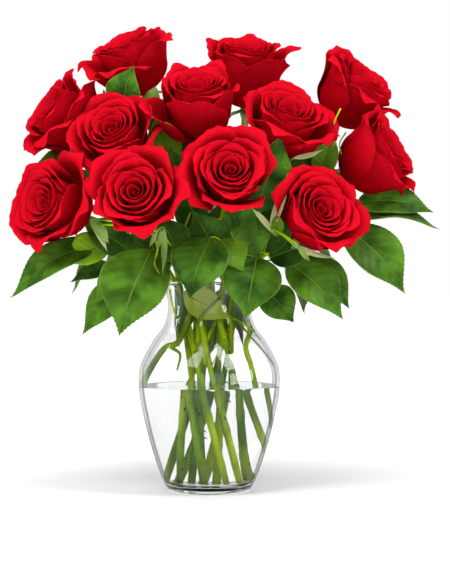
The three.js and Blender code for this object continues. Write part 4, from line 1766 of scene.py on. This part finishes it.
@dataclass(frozen=True)
class TuckedLeaflet(Leaflet):
    """A leaflet pushed down inside the vase's neck, so that it lies round the glass.

    Its base and tip are given as an angle from the front in degrees, nothing, and a height.
    """

    RADIUS = 37.6
    TAPER = 0.72
    CUPPED = 1.2

    def points(self, across: np.ndarray, along: np.ndarray, draw: Draw, teeth: int) -> np.ndarray:
        """Places the blade's points; its margin is plain.

        Args:
            across: From -1 to 1.
            along: From 0 at the base to 1 at the tip.
            draw: Not needed for a plain margin.
            teeth: Not needed either.

        Returns:
            One point in each row, in millimetres.
        """
        start = np.array([math.radians(self.base[0]) * self.RADIUS, self.base[2]])
        end = np.array([math.radians(self.tip[0]) * self.RADIUS, self.tip[2]])
        run = end - start
        square = np.array([run[1], -run[0]]) / np.linalg.norm(run)
        half = np.maximum(np.sin(math.pi * np.clip(along, 0, 1) ** self.TAPER), 0) * self.width / 2
        flat = start + np.outer(along, run) + np.outer(across * half, square)
        radius = self.RADIUS - self.CUPPED * np.abs(across) * np.sin(math.pi * along)
        turn = flat[:, 0] / self.RADIUS
        return np.column_stack([radius * np.sin(turn), -radius * np.cos(turn), flat[:, 1]])

    def rib_line(self) -> np.ndarray:
        """Returns the midrib's way."""
        along = np.linspace(0, self.RIB_END, self.RIB_POINTS)
        return self.points(np.zeros(self.RIB_POINTS), along, Draw(0), 1)


@dataclass(frozen=True)
class Sepal(Leaflet):
    """A pale sepal that shows between the blooms, drawn like a narrow leaflet seen from below."""

    faces: Optional[Triple] = (0.1, 0.95, 0.1)


@dataclass(frozen=True)
class Twig:
    """A side shoot, a stalk or a tendril: its rose, its way, and its radius at both ends."""

    rose: int
    way: tuple[Triple, ...]
    thick: float
    thin: float

    def line(self) -> np.ndarray:
        """Returns the smooth way."""
        return flowing(list(self.way), 6)


@dataclass(frozen=True)
class Leaf:
    """One compound leaf: the rose that bears it, where it leaves the stem, and its leaflets."""

    rose: int
    height: float
    leaflets: tuple[Leaflet, ...]
    sway: Triple = (0.0, 0.0, 6.0)

    BARE_SHARE = 0.25
    SAMPLES = 8

    def main_joints(self, route: StemRoute) -> np.ndarray:
        """Returns the joints of the main stalk, from the stem to the end leaflet."""
        start, end = route.at_height(self.height), np.array(self.leaflets[0].base)
        return np.array([start, (start + end) / 2 + np.array(self.sway), end])

    def side_start(self, joints: np.ndarray, base: np.ndarray) -> np.ndarray:
        """Finds where a side leaflet's stalk leaves the main one.

        Args:
            joints: The main stalk's joints.
            base: The side leaflet's base.

        Returns:
            The place.
        """
        shares = np.linspace(0, 1, self.SAMPLES + 1)[:, None]
        points = np.vstack([a + (b - a) * shares for a, b in zip(joints[:-1], joints[1:])])
        free = points[int(len(points) * self.BARE_SHARE):]
        return free[np.argmin(np.linalg.norm(free - base, axis=1))]


@dataclass(frozen=True)
class GreenFinishes:
    """The materials of everything green; a blade has one for its upper side and one for its underside."""

    bark: bpy.types.Material
    blade: list[bpy.types.Material]
    young: list[bpy.types.Material]
    sepal: list[bpy.types.Material]


@dataclass
class Foliage:
    """The leaves of one stem: toothed, folded and quilted blades on thin stalks."""

    bench: Bench
    rose: Rose
    name: str
    leaves: list[Leaf]
    tucked: list[TuckedLeaflet]
    twigs: list[Twig]
    finishes: GreenFinishes
    columns: int = 14
    rows_to_tooth: int = 4
    thickness: float = 0.4

    OWN_DRAW = 400
    LONG, LONG_TEETH, SHORT_TEETH = 56, 26, 20
    TONE_SPREAD = 0.06
    STALK_POINTS = 12
    SIDE_POINTS = 7
    BOW = 1.5

    def blade_sheet(self, leaflet: Leaflet, draw: Draw) -> bpy.types.Object:
        """Models one leaflet's sheet.

        Args:
            leaflet: The leaflet.
            draw: The draw of its waves.

        Returns:
            The sheet.
        """
        length = (Vector(leaflet.tip) - Vector(leaflet.base)).length
        teeth = self.LONG_TEETH if length > self.LONG else self.SHORT_TEETH
        sheet = self.bench.grid(self.name, self.columns, teeth * self.rows_to_tooth)
        across, along = self.bench.shares(sheet)
        self.bench.shape(sheet, leaflet.points(across, along, draw, teeth) * MM)
        self.bench.carry(sheet, "tone", leaflet.tone + draw.around(self.TONE_SPREAD))
        return sheet

    def blades(self, name: str, leaflets: list[Leaflet], finishes: list[bpy.types.Material],
               draw: Draw) -> bpy.types.Object:
        """Models and dresses some blades.

        Args:
            name: The piece's name.
            leaflets: The leaflets.
            finishes: The upper side's material and the underside's.
            draw: The draw of their waves.

        Returns:
            The piece.
        """
        piece = self.bench.join(name, [self.blade_sheet(leaflet, draw) for leaflet in leaflets])
        self.bench.dress(piece, *finishes)
        self.bench.thicken(piece, self.thickness, 1)
        return piece

    def stalk(self, line: np.ndarray, thick: float, thin: float, roundness: int = 1) -> bpy.types.Object:
        """Draws a stalk or a rib along a line, from its radius at one end to that at the other."""
        return self.bench.tube(self.name, line, np.linspace(thick, thin, len(line)), roundness)

    def stalks(self, leaf: Leaf) -> list[bpy.types.Object]:
        """Draws the main stalk, the side stalks and the ribs of a leaf.

        Args:
            leaf: The leaf.

        Returns:
            The stalks and ribs.
        """
        joints = leaf.main_joints(StemRoute(self.rose))
        shares = np.linspace(0, 1, self.STALK_POINTS)[:, None]
        middle = 2 * joints[1] - (joints[0] + joints[2]) / 2
        line = (1 - shares) ** 2 * joints[0] + 2 * shares * (1 - shares) * middle + shares ** 2 * joints[2]
        stalks = [self.stalk(line, 1.35, 0.95)]
        shares = np.linspace(0, 1, self.SIDE_POINTS)[:, None]
        bow = np.sin(math.pi * shares) * np.array([0, 0, self.BOW])
        for leaflet in leaf.leaflets[1:]:
            base = np.array(leaflet.base)
            start = line[np.argmin(np.linalg.norm(line - leaf.side_start(joints, base), axis=1))]
            stalks.append(self.stalk(start + (base - start) * shares + bow, 1.0, 0.8))
        ribbed = [leaflet for leaflet in leaf.leaflets if not isinstance(leaflet, Sepal)]
        return stalks + [self.stalk(leaflet.rib_line(), 0.7, 0.2) for leaflet in ribbed]

    def build(self) -> list[bpy.types.Object]:
        """Models and dresses the leaves.

        Returns:
            The blades, and the stalks with the ribs.
        """
        draw = Draw(self.rose.draw + self.OWN_DRAW)
        leaflets = [leaflet for leaf in self.leaves for leaflet in leaf.leaflets]
        pale = [leaflet for leaflet in leaflets if isinstance(leaflet, Sepal)]
        bright = [leaflet for leaflet in self.tucked if leaflet.tone >= 0.5]
        plain = [leaflet for leaflet in leaflets + self.tucked if leaflet not in pale + bright]
        blades = [self.blades(self.name, plain, self.finishes.blade, draw)]
        if bright:
            blades.append(self.blades(self.name + "_young", bright, self.finishes.young, draw))
        if pale:
            blades.append(self.blades(self.name + "_pale", pale, self.finishes.sepal, draw))
        stalks = [stalk for leaf in self.leaves for stalk in self.stalks(leaf)]
        stalks += [self.stalk(leaflet.rib_line(), 0.6, 0.2) for leaflet in self.tucked]
        stalks += [self.stalk(twig.line(), twig.thick, twig.thin, 2) for twig in self.twigs]
        return [*blades, self.bench.dress(self.bench.join(self.name + "_stalks", stalks), self.finishes.bark)]


# ---- tables -----------------------------------------------------------------------------------
# Places are in millimetres from the middle of the vase's foot, set against the photograph.
ROSES = (
    Rose((-95, 44, 488), (-0.37, -0.35, 0.86), 1, 1.04, 11, (118, 28), (215, 33), 0.8, 1.12, ((0, 6),)),
    Rose((42, 60, 474), (0.05, -0.38, 0.92), 0.7, 0.98, 12, (70, 30), (168, 36), 0.42, 1.34, ((0, 9),)),
    Rose((171, 45, 448), (0.62, -0.35, 0.7), 0.8, 1.02, 13, (34, 30), (140, 30), 0.8, 1.18),
    Rose((-178, 18, 418), (-0.75, -0.35, 0.55), 1, 1, 14, (165, 30), (262, 32), 0.85, 1.06),
    Rose((-105, -50, 392), (-0.25, -0.8, 0.55), 0.7, 1, 15, (190, 13), (250, 15), 0.85),
    Rose((-12, -46, 429), (-0.05, -0.55, 0.83), 0.35, 1, 16, (100, 13), (160, 15), 0.45, 1.18, ((2, 20),)),
    Rose((87, -45, 406), (0.25, -0.6, 0.75), 0.7, 1.04, 17, (10, 13), (70, 15), 0.85, 1.12),
    Rose((195, -8, 369), (0.8, -0.35, 0.45), 0.4, 1.07, 18, (358, 30), (98, 34), 0.75, 1.14),
    Rose((-178, -60, 309), (-0.64, -0.74, 0.2), 0.7, 1.02, 19, (205, 30), (300, 34), 0.85, 1.04,
         ((2, 9), (3, 8))),
    Rose((-76, -121, 320), (-0.15, -0.93, 0.33), 0.9, 1.02, 20, (244, 30), (338, 30), 0.74, 1.0,
         ((0, -5), (4, -2))),
    Rose((24, -114, 342), (0.05, -0.93, 0.35), 0.6, 1.02, 21, (282, 30), (12, 51, 36), 0.85, 1.0,
         ((1, -18),)),
    Rose((121, -92, 303), (0.4, -0.83, 0.36), 0.7, 1.04, 22, (320, 30), (52, 40, 12), 0.85, 1.0,
         ((0, -11), (1, -6), (3, -5), (4, -4))),
)

# The leaves that the solids have too.
# A leaflet whose tone is below 0 is painted darker as shade.
LEAVES = (
    Leaf(8, 262, (
        Leaflet((147, -18, 283), (209, -34, 214), 56, faces=(0.25, -0.9, 0.35), tone=0.12),
        Leaflet((160, -4, 311), (241, -12, 302), 42, faces=(0, -0.8, 0.6)),
        Leaflet((158, -10, 294), (246, -20, 285), 28, faces=(0.1, -0.55, 0.83)),
        Leaflet((120, 16, 272), (176, 52, 240), 40),
    )),
    Leaf(12, 236, (
        Leaflet((84, -44, 246), (141, -62, 187), 48, faces=(0.15, -0.9, 0.4)),
        Leaflet((104, -30, 252), (150, -36, 197), 36, faces=(0.2, -0.9, 0.4)),
        Leaflet((58, -50, 216), (89, -58, 183), 40, faces=(0.0, -0.9, 0.45)),
    )),
    Leaf(11, 246, (
        Leaflet((50, -64, 250), (38, -90, 188), 60, faces=(0, -0.9, 0.4)),
        Leaflet((36, -50, 292), (52, -70, 248), 42, faces=(0.1, -0.9, 0.4)),
    )),
    Leaf(11, 258, (
        Leaflet((2, -68, 270), (-20, -94, 209), 60, faces=(-0.1, -0.9, 0.5)),
        Leaflet((12, -66, 268), (36, -84, 236), 36, faces=(0.1, -0.85, 0.5), tone=0.2),
    )),
    Leaf(10, 238, (
        Leaflet((-60, -62, 258), (-92, -92, 171), 72, faces=(-0.1, -0.95, 0.35), tone=0.08),
        Leaflet((-82, -36, 244), (-120, -48, 203), 30, faces=(-0.1, -0.95, 0.3)),
        Leaflet((-84, -24, 230), (-134, -42, 170), 36, faces=(-0.1, -0.95, 0.3), tone=0.1),
    )),
    Leaf(9, 246, (
        Leaflet((-118, -30, 268), (-209, -52, 211), 42, faces=(-0.3, -0.85, 0.5)),
        Leaflet((-106, -34, 266), (-152, -38, 245), 38, faces=(0, -0.9, 0.4), tone=0.95),
        Leaflet((-100, -12, 240), (-148, -22, 226), 26, faces=(0, -0.75, 0.65)),
    )),
    Leaf(1, 330, (
        Leaflet((-93, 2, 408), (-82, -16, 456), 42, faces=(-0.3, -0.9, 0.2)),
        Leaflet((-104, 22, 396), (-116, 14, 434), 24, faces=(-0.3, -0.9, 0.2)),
        Leaflet((-58, 4, 382), (-50, -6, 420), 26, faces=(0.2, -0.95, 0.1)),
    )),
    Leaf(6, 300, (
        Leaflet((-40, -18, 350), (-58, -14, 404), 36, faces=(0, -0.95, 0.2), tone=0.6),
        Leaflet((-34, -34, 330), (-40, -52, 366), 32, faces=(0.1, -0.95, 0.2), tone=-0.4),
    )),
    Leaf(4, 300, (
        Leaflet((-138, 30, 352), (-192, 18, 354), 40, faces=(-0.1, -0.6, 0.8), tone=0.25),
        Leaflet((-118, 38, 338), (-160, 66, 330), 40),
        Leaflet((-112, 16, 336), (-160, 0, 326), 36, faces=(-0.3, -0.5, 0.8)),
    )),
    Leaf(7, 290, (
        Leaflet((49, -46, 300), (76, -69, 377), 52, faces=(0.15, -0.98, 0.1), tone=-0.1),
        Leaflet((46, -20, 308), (14, -36, 352), 36, faces=(0, -0.95, 0.2), bend=(-12, 12)),
    )),
    Leaf(3, 300, (
        Leaflet((96, 6, 350), (138, -6, 343), 36, faces=(0, -0.7, 0.7)),
        Leaflet((118, -2, 338), (134, -8, 386), 28, faces=(0, -0.95, 0.2), tone=0.25),
        Leaflet((92, 20, 358), (128, 14, 384), 36, faces=(0, -0.9, 0.4)),
        Leaflet((112, 34, 338), (166, 56, 344), 40, bend=(16, 0)),
    )),
    Leaf(2, 290, (
        Leaflet((52, 92, 330), (60, 146, 290), 50),
        Leaflet((66, 76, 340), (112, 108, 330), 42, bend=(16, 0)),
        Leaflet((26, 84, 340), (-6, 130, 332), 42),
    )),
    Leaf(2, 235, (
        Leaflet((30, 70, 262), (28, 124, 200), 54),
        Leaflet((48, 60, 270), (94, 92, 236), 44),
        Leaflet((14, 62, 272), (-28, 98, 244), 44),
    )),
    Leaf(1, 270, (
        Leaflet((-66, 76, 320), (-92, 128, 282), 50),
        Leaflet((-82, 64, 334), (-132, 88, 326), 42),
        Leaflet((-46, 76, 334), (-34, 124, 330), 42),
    )),
    Leaf(1, 232, (
        Leaflet((-54, 52, 254), (-92, 96, 198), 52),
        Leaflet((-66, 38, 262), (-122, 50, 232), 42),
        Leaflet((-36, 58, 262), (-40, 106, 232), 42, bend=(16, 0)),
    )),
    Leaf(3, 236, (
        Leaflet((74, 44, 264), (124, 82, 206), 52, bend=(0, -16)),
        Leaflet((84, 28, 272), (142, 30, 240), 40),
    )),
    Leaf(4, 256, (
        Leaflet((-90, 22, 272), (-154, 34, 216), 46),
        Leaflet((-70, 32, 270), (-112, 70, 262), 38),
    )),
)

# Small leaves deep in the bunch, painted darker as shade, and pale sepals that show between the blooms.
FILLERS = (
    Leaf(6, 310, (
        Leaflet((-28, -8, 342), (-20, -12, 390), 32, faces=(0, -0.95, 0.2), tone=-0.5),
        Leaflet((-36, -52, 252), (-62, -60, 262), 24, faces=(-0.1, -0.95, 0.2)),
    )),
    Leaf(7, 300, (
        Sepal((88, -62, 353), (119, -66, 361), 5.5, faces=(0.1, 0.9, -0.2), tone=0.7),
        Leaflet((84, -40, 330), (104, -44, 352), 34, faces=(0.1, -0.95, 0.2), tone=-0.5),
    )),
    Leaf(1, 350, (
        Sepal((-58, -8, 434), (-64, -20, 392), 14),
        Sepal((-62, -4, 432), (-74, -12, 404), 9),
    )),
    Leaf(10, 240, (
        Sepal((-52, -94, 277), (-60, -97, 260), 4.5),
        Sepal((-48, -94, 277), (-52, -97, 256), 4.5),
        Sepal((-45, -95, 280), (-46, -98, 232), 6),
        Sepal((-122, -70, 290), (-102, -76, 264), 12),
        Sepal((-120, -68, 284), (-104, -72, 256), 6, tone=0.5),
    )),
    Leaf(12, 262, (
        Sepal((64, -80, 280), (82, -84, 336), 10, faces=(0.2, 0.95, 0.1), tone=0.8),
        Sepal((67, -78, 275), (44, -84, 301), 6, faces=(0.2, 0.95, 0.1), tone=0.6),
        Leaflet((70, -74, 272), (70, -78, 296), 14, faces=(0.2, -0.95, 0.1), tone=0.35),
        Sepal((88, -82, 262), (130, -86, 248), 6, faces=(0.1, 0.9, -0.3), tone=0.6),
        Sepal((92, -84, 262), (104, -90, 245), 6, faces=(0.1, 0.9, -0.3)),
    )),
    Leaf(11, 234, (
        Leaflet((8, -50, 256), (-16, -62, 298), 42, faces=(-0.1, -0.95, 0.25), tone=-0.35),
        Leaflet((18, -48, 258), (48, -60, 304), 42, faces=(0.1, -0.95, 0.25), tone=-0.2),
    )),
    Leaf(10, 232, (
        Leaflet((-30, -50, 250), (-50, -62, 294), 42, faces=(-0.1, -0.95, 0.2), tone=-0.5),
        Leaflet((-50, -30, 252), (-92, -30, 274), 36, faces=(-0.2, -0.9, 0.3), tone=-0.5),
        Leaflet((-84, -34, 258), (-134, -40, 290), 38, faces=(-0.2, -0.9, 0.3), tone=-0.3),
        Leaflet((-40, -44, 246), (-84, -40, 236), 30, faces=(-0.1, -0.9, 0.4), tone=-0.5),
    )),
    Leaf(12, 232, (
        Leaflet((58, -36, 256), (78, -42, 314), 40, faces=(0.1, -0.95, 0.2), tone=-0.45),
        Leaflet((64, -34, 250), (112, -34, 262), 38, faces=(0.1, -0.9, 0.4), tone=-0.4),
        Leaflet((50, -38, 250), (28, -42, 290), 36, faces=(0.0, -0.95, 0.3), tone=-0.4),
    )),
    Leaf(6, 250, (
        Leaflet((-8, -6, 280), (-30, -12, 326), 40, faces=(-0.1, -0.95, 0.2), tone=-0.5),
        Leaflet((0, -4, 276), (30, -10, 322), 40, faces=(0.1, -0.95, 0.2), tone=-0.5),
    )),
)

# Leaves pushed into the vase's neck, by angle and height; they grow on one stem. Most are painted darker as
# shade; the first, at the front, is a pale young leaf.
TUCKED_ROSE = 10
TUCKED = (
    TuckedLeaflet((-44, 0, 214), (36, 0, 186), 35, tone=0.95),
    TuckedLeaflet((-76, 0, 217), (-58, 0, 154), 32, tone=-0.1),
    TuckedLeaflet((-104, 0, 216), (-84, 0, 172), 26, tone=-0.2),
    TuckedLeaflet((-140, 0, 216), (-128, 0, 162), 30, tone=-0.2),
    TuckedLeaflet((-168, 0, 216), (-186, 0, 150), 34, tone=-0.2),
    TuckedLeaflet((164, 0, 216), (148, 0, 156), 32, tone=-0.2),
    TuckedLeaflet((128, 0, 216), (116, 0, 164), 28, tone=-0.2),
    TuckedLeaflet((88, 0, 216), (96, 0, 170), 26, tone=0.1),
    TuckedLeaflet((64, 0, 217), (72, 0, 156), 32, tone=-0.1),
)

# Side shoots in the vase, then stalks and tendrils that show beside the blooms.
TWIGS = (
    Twig(10, ((-41.9, -26, 216.8), (-39.4, -28, 202.2), (-34.5, -28, 184.4), (-31.3, -26, 164.8)), 1.1, 0.9),
    Twig(10, ((-18.3, -27, 195.7), (-31.2, -30, 161.7), (-44.1, -31, 155.2), (-53.9, -30, 143.8),
              (-63.9, -24, 127.3), (-70, -16, 113.7)), 3.1, 3.2),
    Twig(10, ((-39.3, -30, 154.4), (-30.4, -28, 147), (-33.8, -24, 130.5)), 1.9, 1.1),
    Twig(12, ((31.4, -14, 195.5), (42.9, -16, 172.6), (38.8, -16, 154.6), (44.5, -14, 134.8),
              (49.1, -10, 114.9), (54, -6, 92), (58, -3, 70)), 2.6, 3.3),
    Twig(12, ((24.8, -30, 186), (37, -31, 179.6), (48.7, -28, 171.7)), 1.6, 1.2),
    Twig(11, ((16.7, -32, 163.4), (9.4, -34, 148.9), (2.1, -34, 134.3)), 1.1, 0.6),
    Twig(11, ((8.5, -20, 185.8), (-2.1, -22, 161.4), (-5.3, -24, 148.4), (-3.7, -24, 135.4)), 2.3, 1.2),
    Twig(7, ((78.5, -72, 343), (85, -74, 340), (97, -76, 341.5), (100, -76, 338.5)), 0.7, 0.3),
    Twig(8, ((140, -24, 409), (133, -26, 393), (136, -26, 380), (131, -24, 366)), 0.9, 0.35),
    Twig(8, ((146, -20, 384), (139, -24, 372), (141, -24, 360)), 1.0, 0.5),
    Twig(12, ((27.5, 8, 178.5), (7.5, 12, 156.7), (-12.5, 14, 133.3), (-24.2, 16, 111.5)), 2.4, 2.4),
    Twig(10, ((-28.1, -22, 185.8), (-24.8, -24, 172.9), (-16.8, -20, 158)), 1.4, 1),
    Twig(10, ((-9, -37, 184), (-5.5, -39, 191), (3, -39.4, 200), (11, -38, 208)), 2.0, 1.2),
    Twig(10, ((-9, -36, 184), (-11.5, -36, 176), (-12, -33, 160)), 1.7, 1.4),
    Twig(12, ((24, -22, 190), (38, -27, 172), (55, -28, 152), (68.5, -14, 135)), 1.3, 0.8),
    Twig(10, ((-70, -68, 298), (-60, -84, 280), (-52, -90, 260), (-55, -92, 244), (-50, -93, 233)), 1.9, 0.3),
)


# ---- studio -----------------------------------------------------------------------------------
@dataclass(frozen=True)
class Lamp:
    """A soft rectangular light, and whether glass mirrors it."""

    name: str
    place: Triple
    aim: Triple
    power: float
    size: tuple[float, float]
    mirrored: bool = True

    def hang(self) -> bpy.types.Object:
        """Hangs the light.

        Returns:
            The light's object.
        """
        light = bpy.data.lights.new(self.name, "AREA")
        light.shape = "RECTANGLE"
        light.energy, light.size, light.size_y = self.power, *self.size
        stand = put_in(self.name, light)
        stand.location = self.place
        stand.rotation_euler = (Vector(self.aim) - Vector(self.place)).to_track_quat("-Z", "Y").to_euler()
        stand.visible_glossy = self.mirrored
        return stand


@dataclass
class Studio:
    """The pale floor, the soft lights and the camera at the photograph's angle, in metres."""

    camera_place: Triple = (0.017, -1.65, 0.225)
    lens: float = 97.7
    floor_size: float = 24.0
    floor_place: Triple = (0, 8.0, -0.0004)
    lamps: tuple[Lamp, ...] = (
        Lamp("key_light", (-0.65, -0.90, 1.35), (0.0, 0.0, 0.33), 17.0, (0.7, 0.8), False),
        Lamp("low_fill", (0.15, -1.35, 0.32), (0.0, 0.0, 0.20), 3.6, (0.9, 0.5), False),
        Lamp("right_window", (0.90, -0.59, 1.29), (0.0, 0.0, 0.20), 9.0, (0.36, 0.50)),
    )
    panes: tuple[Lamp, ...] = (
        Lamp("left_pane", (-1.060, 0.058, 0.788), (-0.035, -0.041, 0.172), 5.4, (0.28, 0.50)),
        Lamp("shoulder_pane", (0.700, -0.560, 1.000), (0.023, -0.055, 0.162), 34.0, (0.90, 0.84)),
        Lamp("middle_pane", (0.831, -0.953, 0.242), (0.027, -0.071, 0.124), 6.4, (0.36, 0.42)),
        Lamp("side_pane", (1.158, -0.433, 0.370), (0.043, -0.062, 0.128), 3.8, (0.20, 0.46)),
        Lamp("far_left_pane", (-1.235, 0.082, 0.297), (-0.055, -0.052, 0.128), 3.0, (0.20, 0.36)),
    )

    def camera(self) -> None:
        """Sets up the camera, level and looking at the bouquet's front."""
        seen = bpy.data.cameras.new("camera")
        seen.lens = self.lens
        camera = put_in("camera", seen)
        camera.location = self.camera_place
        camera.rotation_euler = (math.radians(90), 0, 0)
        bpy.context.scene.camera = camera

    def light(self) -> None:
        """Hangs the lights; the panes are windows that light only the glass, which mirrors them."""
        for lamp in self.lamps:
            lamp.hang()
        shiny = bpy.data.collections.new("shiny_glass")
        shiny.objects.link(bpy.data.objects["glass_vase"])
        for pane in self.panes:
            stand = pane.hang()
            stand.visible_camera = stand.visible_transmission = stand.visible_diffuse = False
            stand.light_linking.receiver_collection = shiny
        bpy.context.scene.world = PaleSurroundings().world()
        bpy.context.scene.view_settings.view_transform = "Standard"

    def floor(self, bench: Bench) -> None:
        """Lays the floor.

        Args:
            bench: Where it is made.
        """
        bench.clear_selection()
        bpy.ops.mesh.primitive_plane_add(size=self.floor_size, location=self.floor_place)
        floor = bench.dress(bpy.context.active_object, TableFinish().material())
        bpy.ops.object.transform_apply(location=True)
        floor.name = "floor"
        floor.visible_glossy = False


def green_finishes() -> GreenFinishes:
    """Builds the materials of everything green.

    Returns:
        The materials.
    """
    bark = BarkFinish().material()
    upper = LeafFinish(
        "leaf_upper", dark=(0.006, 0.040, 0.0014, 1), light=(0.102, 0.278, 0.017, 1),
        young=(0.26, 0.50, 0.010, 1), vein=(0.24, 0.42, 0.06, 1), roughness=0.29, gloss=0.22,
        vein_share=0.50, relief=0.0012).material()
    under = LeafFinish(
        "leaf_underside", dark=(0.14, 0.23, 0.08, 1), light=(0.20, 0.31, 0.11, 1),
        young=(0.30, 0.42, 0.12, 1), vein=(0.33, 0.44, 0.18, 1), roughness=0.55, gloss=0.3,
        vein_share=0.6, relief=0.0007).material()
    young = LeafFinish(
        "young_leaf", dark=(0.20, 0.34, 0.012, 1), light=(0.34, 0.54, 0.020, 1),
        young=(0.60, 0.74, 0.060, 1), vein=(0.70, 0.80, 0.16, 1), roughness=0.40, gloss=0.15,
        vein_share=0.8, relief=0.0004, glow_share=0.40).material()
    sepal = LeafFinish(
        "pale_sepal", dark=(0.12, 0.22, 0.03, 1), light=(0.26, 0.39, 0.09, 1),
        young=(0.60, 0.62, 0.34, 1), vein=(0.50, 0.58, 0.26, 1), roughness=0.55, gloss=0.15,
        vein_share=0.6, relief=0.0004).material()
    return GreenFinishes(bark, [upper, under], [young, under], [sepal, sepal])


def grow(bench: Bench, number: int, petal: bpy.types.Material, greens: GreenFinishes) -> None:
    """Models one rose: its bloom, its stem and whatever leaves and twigs it bears.

    Args:
        bench: Where the pieces are made.
        number: Which rose it is, from 1.
        petal: The petals' material.
        greens: The materials of everything green.
    """
    rose, label = ROSES[number - 1], f"{number:02d}"
    Bloom(bench, rose, f"rose_{label}", f"bloom_{label}", petal).build()
    made = Stem(bench, rose, f"green_{label}", greens.bark, greens.blade).build()
    leaves = [leaf for leaf in LEAVES + FILLERS if leaf.rose == number]
    twigs = [twig for twig in TWIGS if twig.rose == number]
    tucked = list(TUCKED) if number == TUCKED_ROSE else []
    if leaves:
        made += Foliage(bench, rose, f"leaves_{label}", leaves, tucked, twigs, greens).build()
    for piece in made:
        hand_over(piece, Slot.LEAVES, f"stem_{label}")


def main() -> None:
    """Builds the bouquet in order."""
    logging.basicConfig(level=logging.INFO, format="%(name)s: %(message)s")
    bench = Bench()
    vase = Vase(bench)
    vase.build()
    Water(bench, vase).build()
    petal, greens = PetalFinish().material(), green_finishes()
    for number in range(1, len(ROSES) + 1):
        grow(bench, number, petal, greens)
    bench.tidy_away()
    studio = Studio()
    studio.floor(bench)
    studio.camera()
    studio.light()


if __name__ == "__main__":
    main()
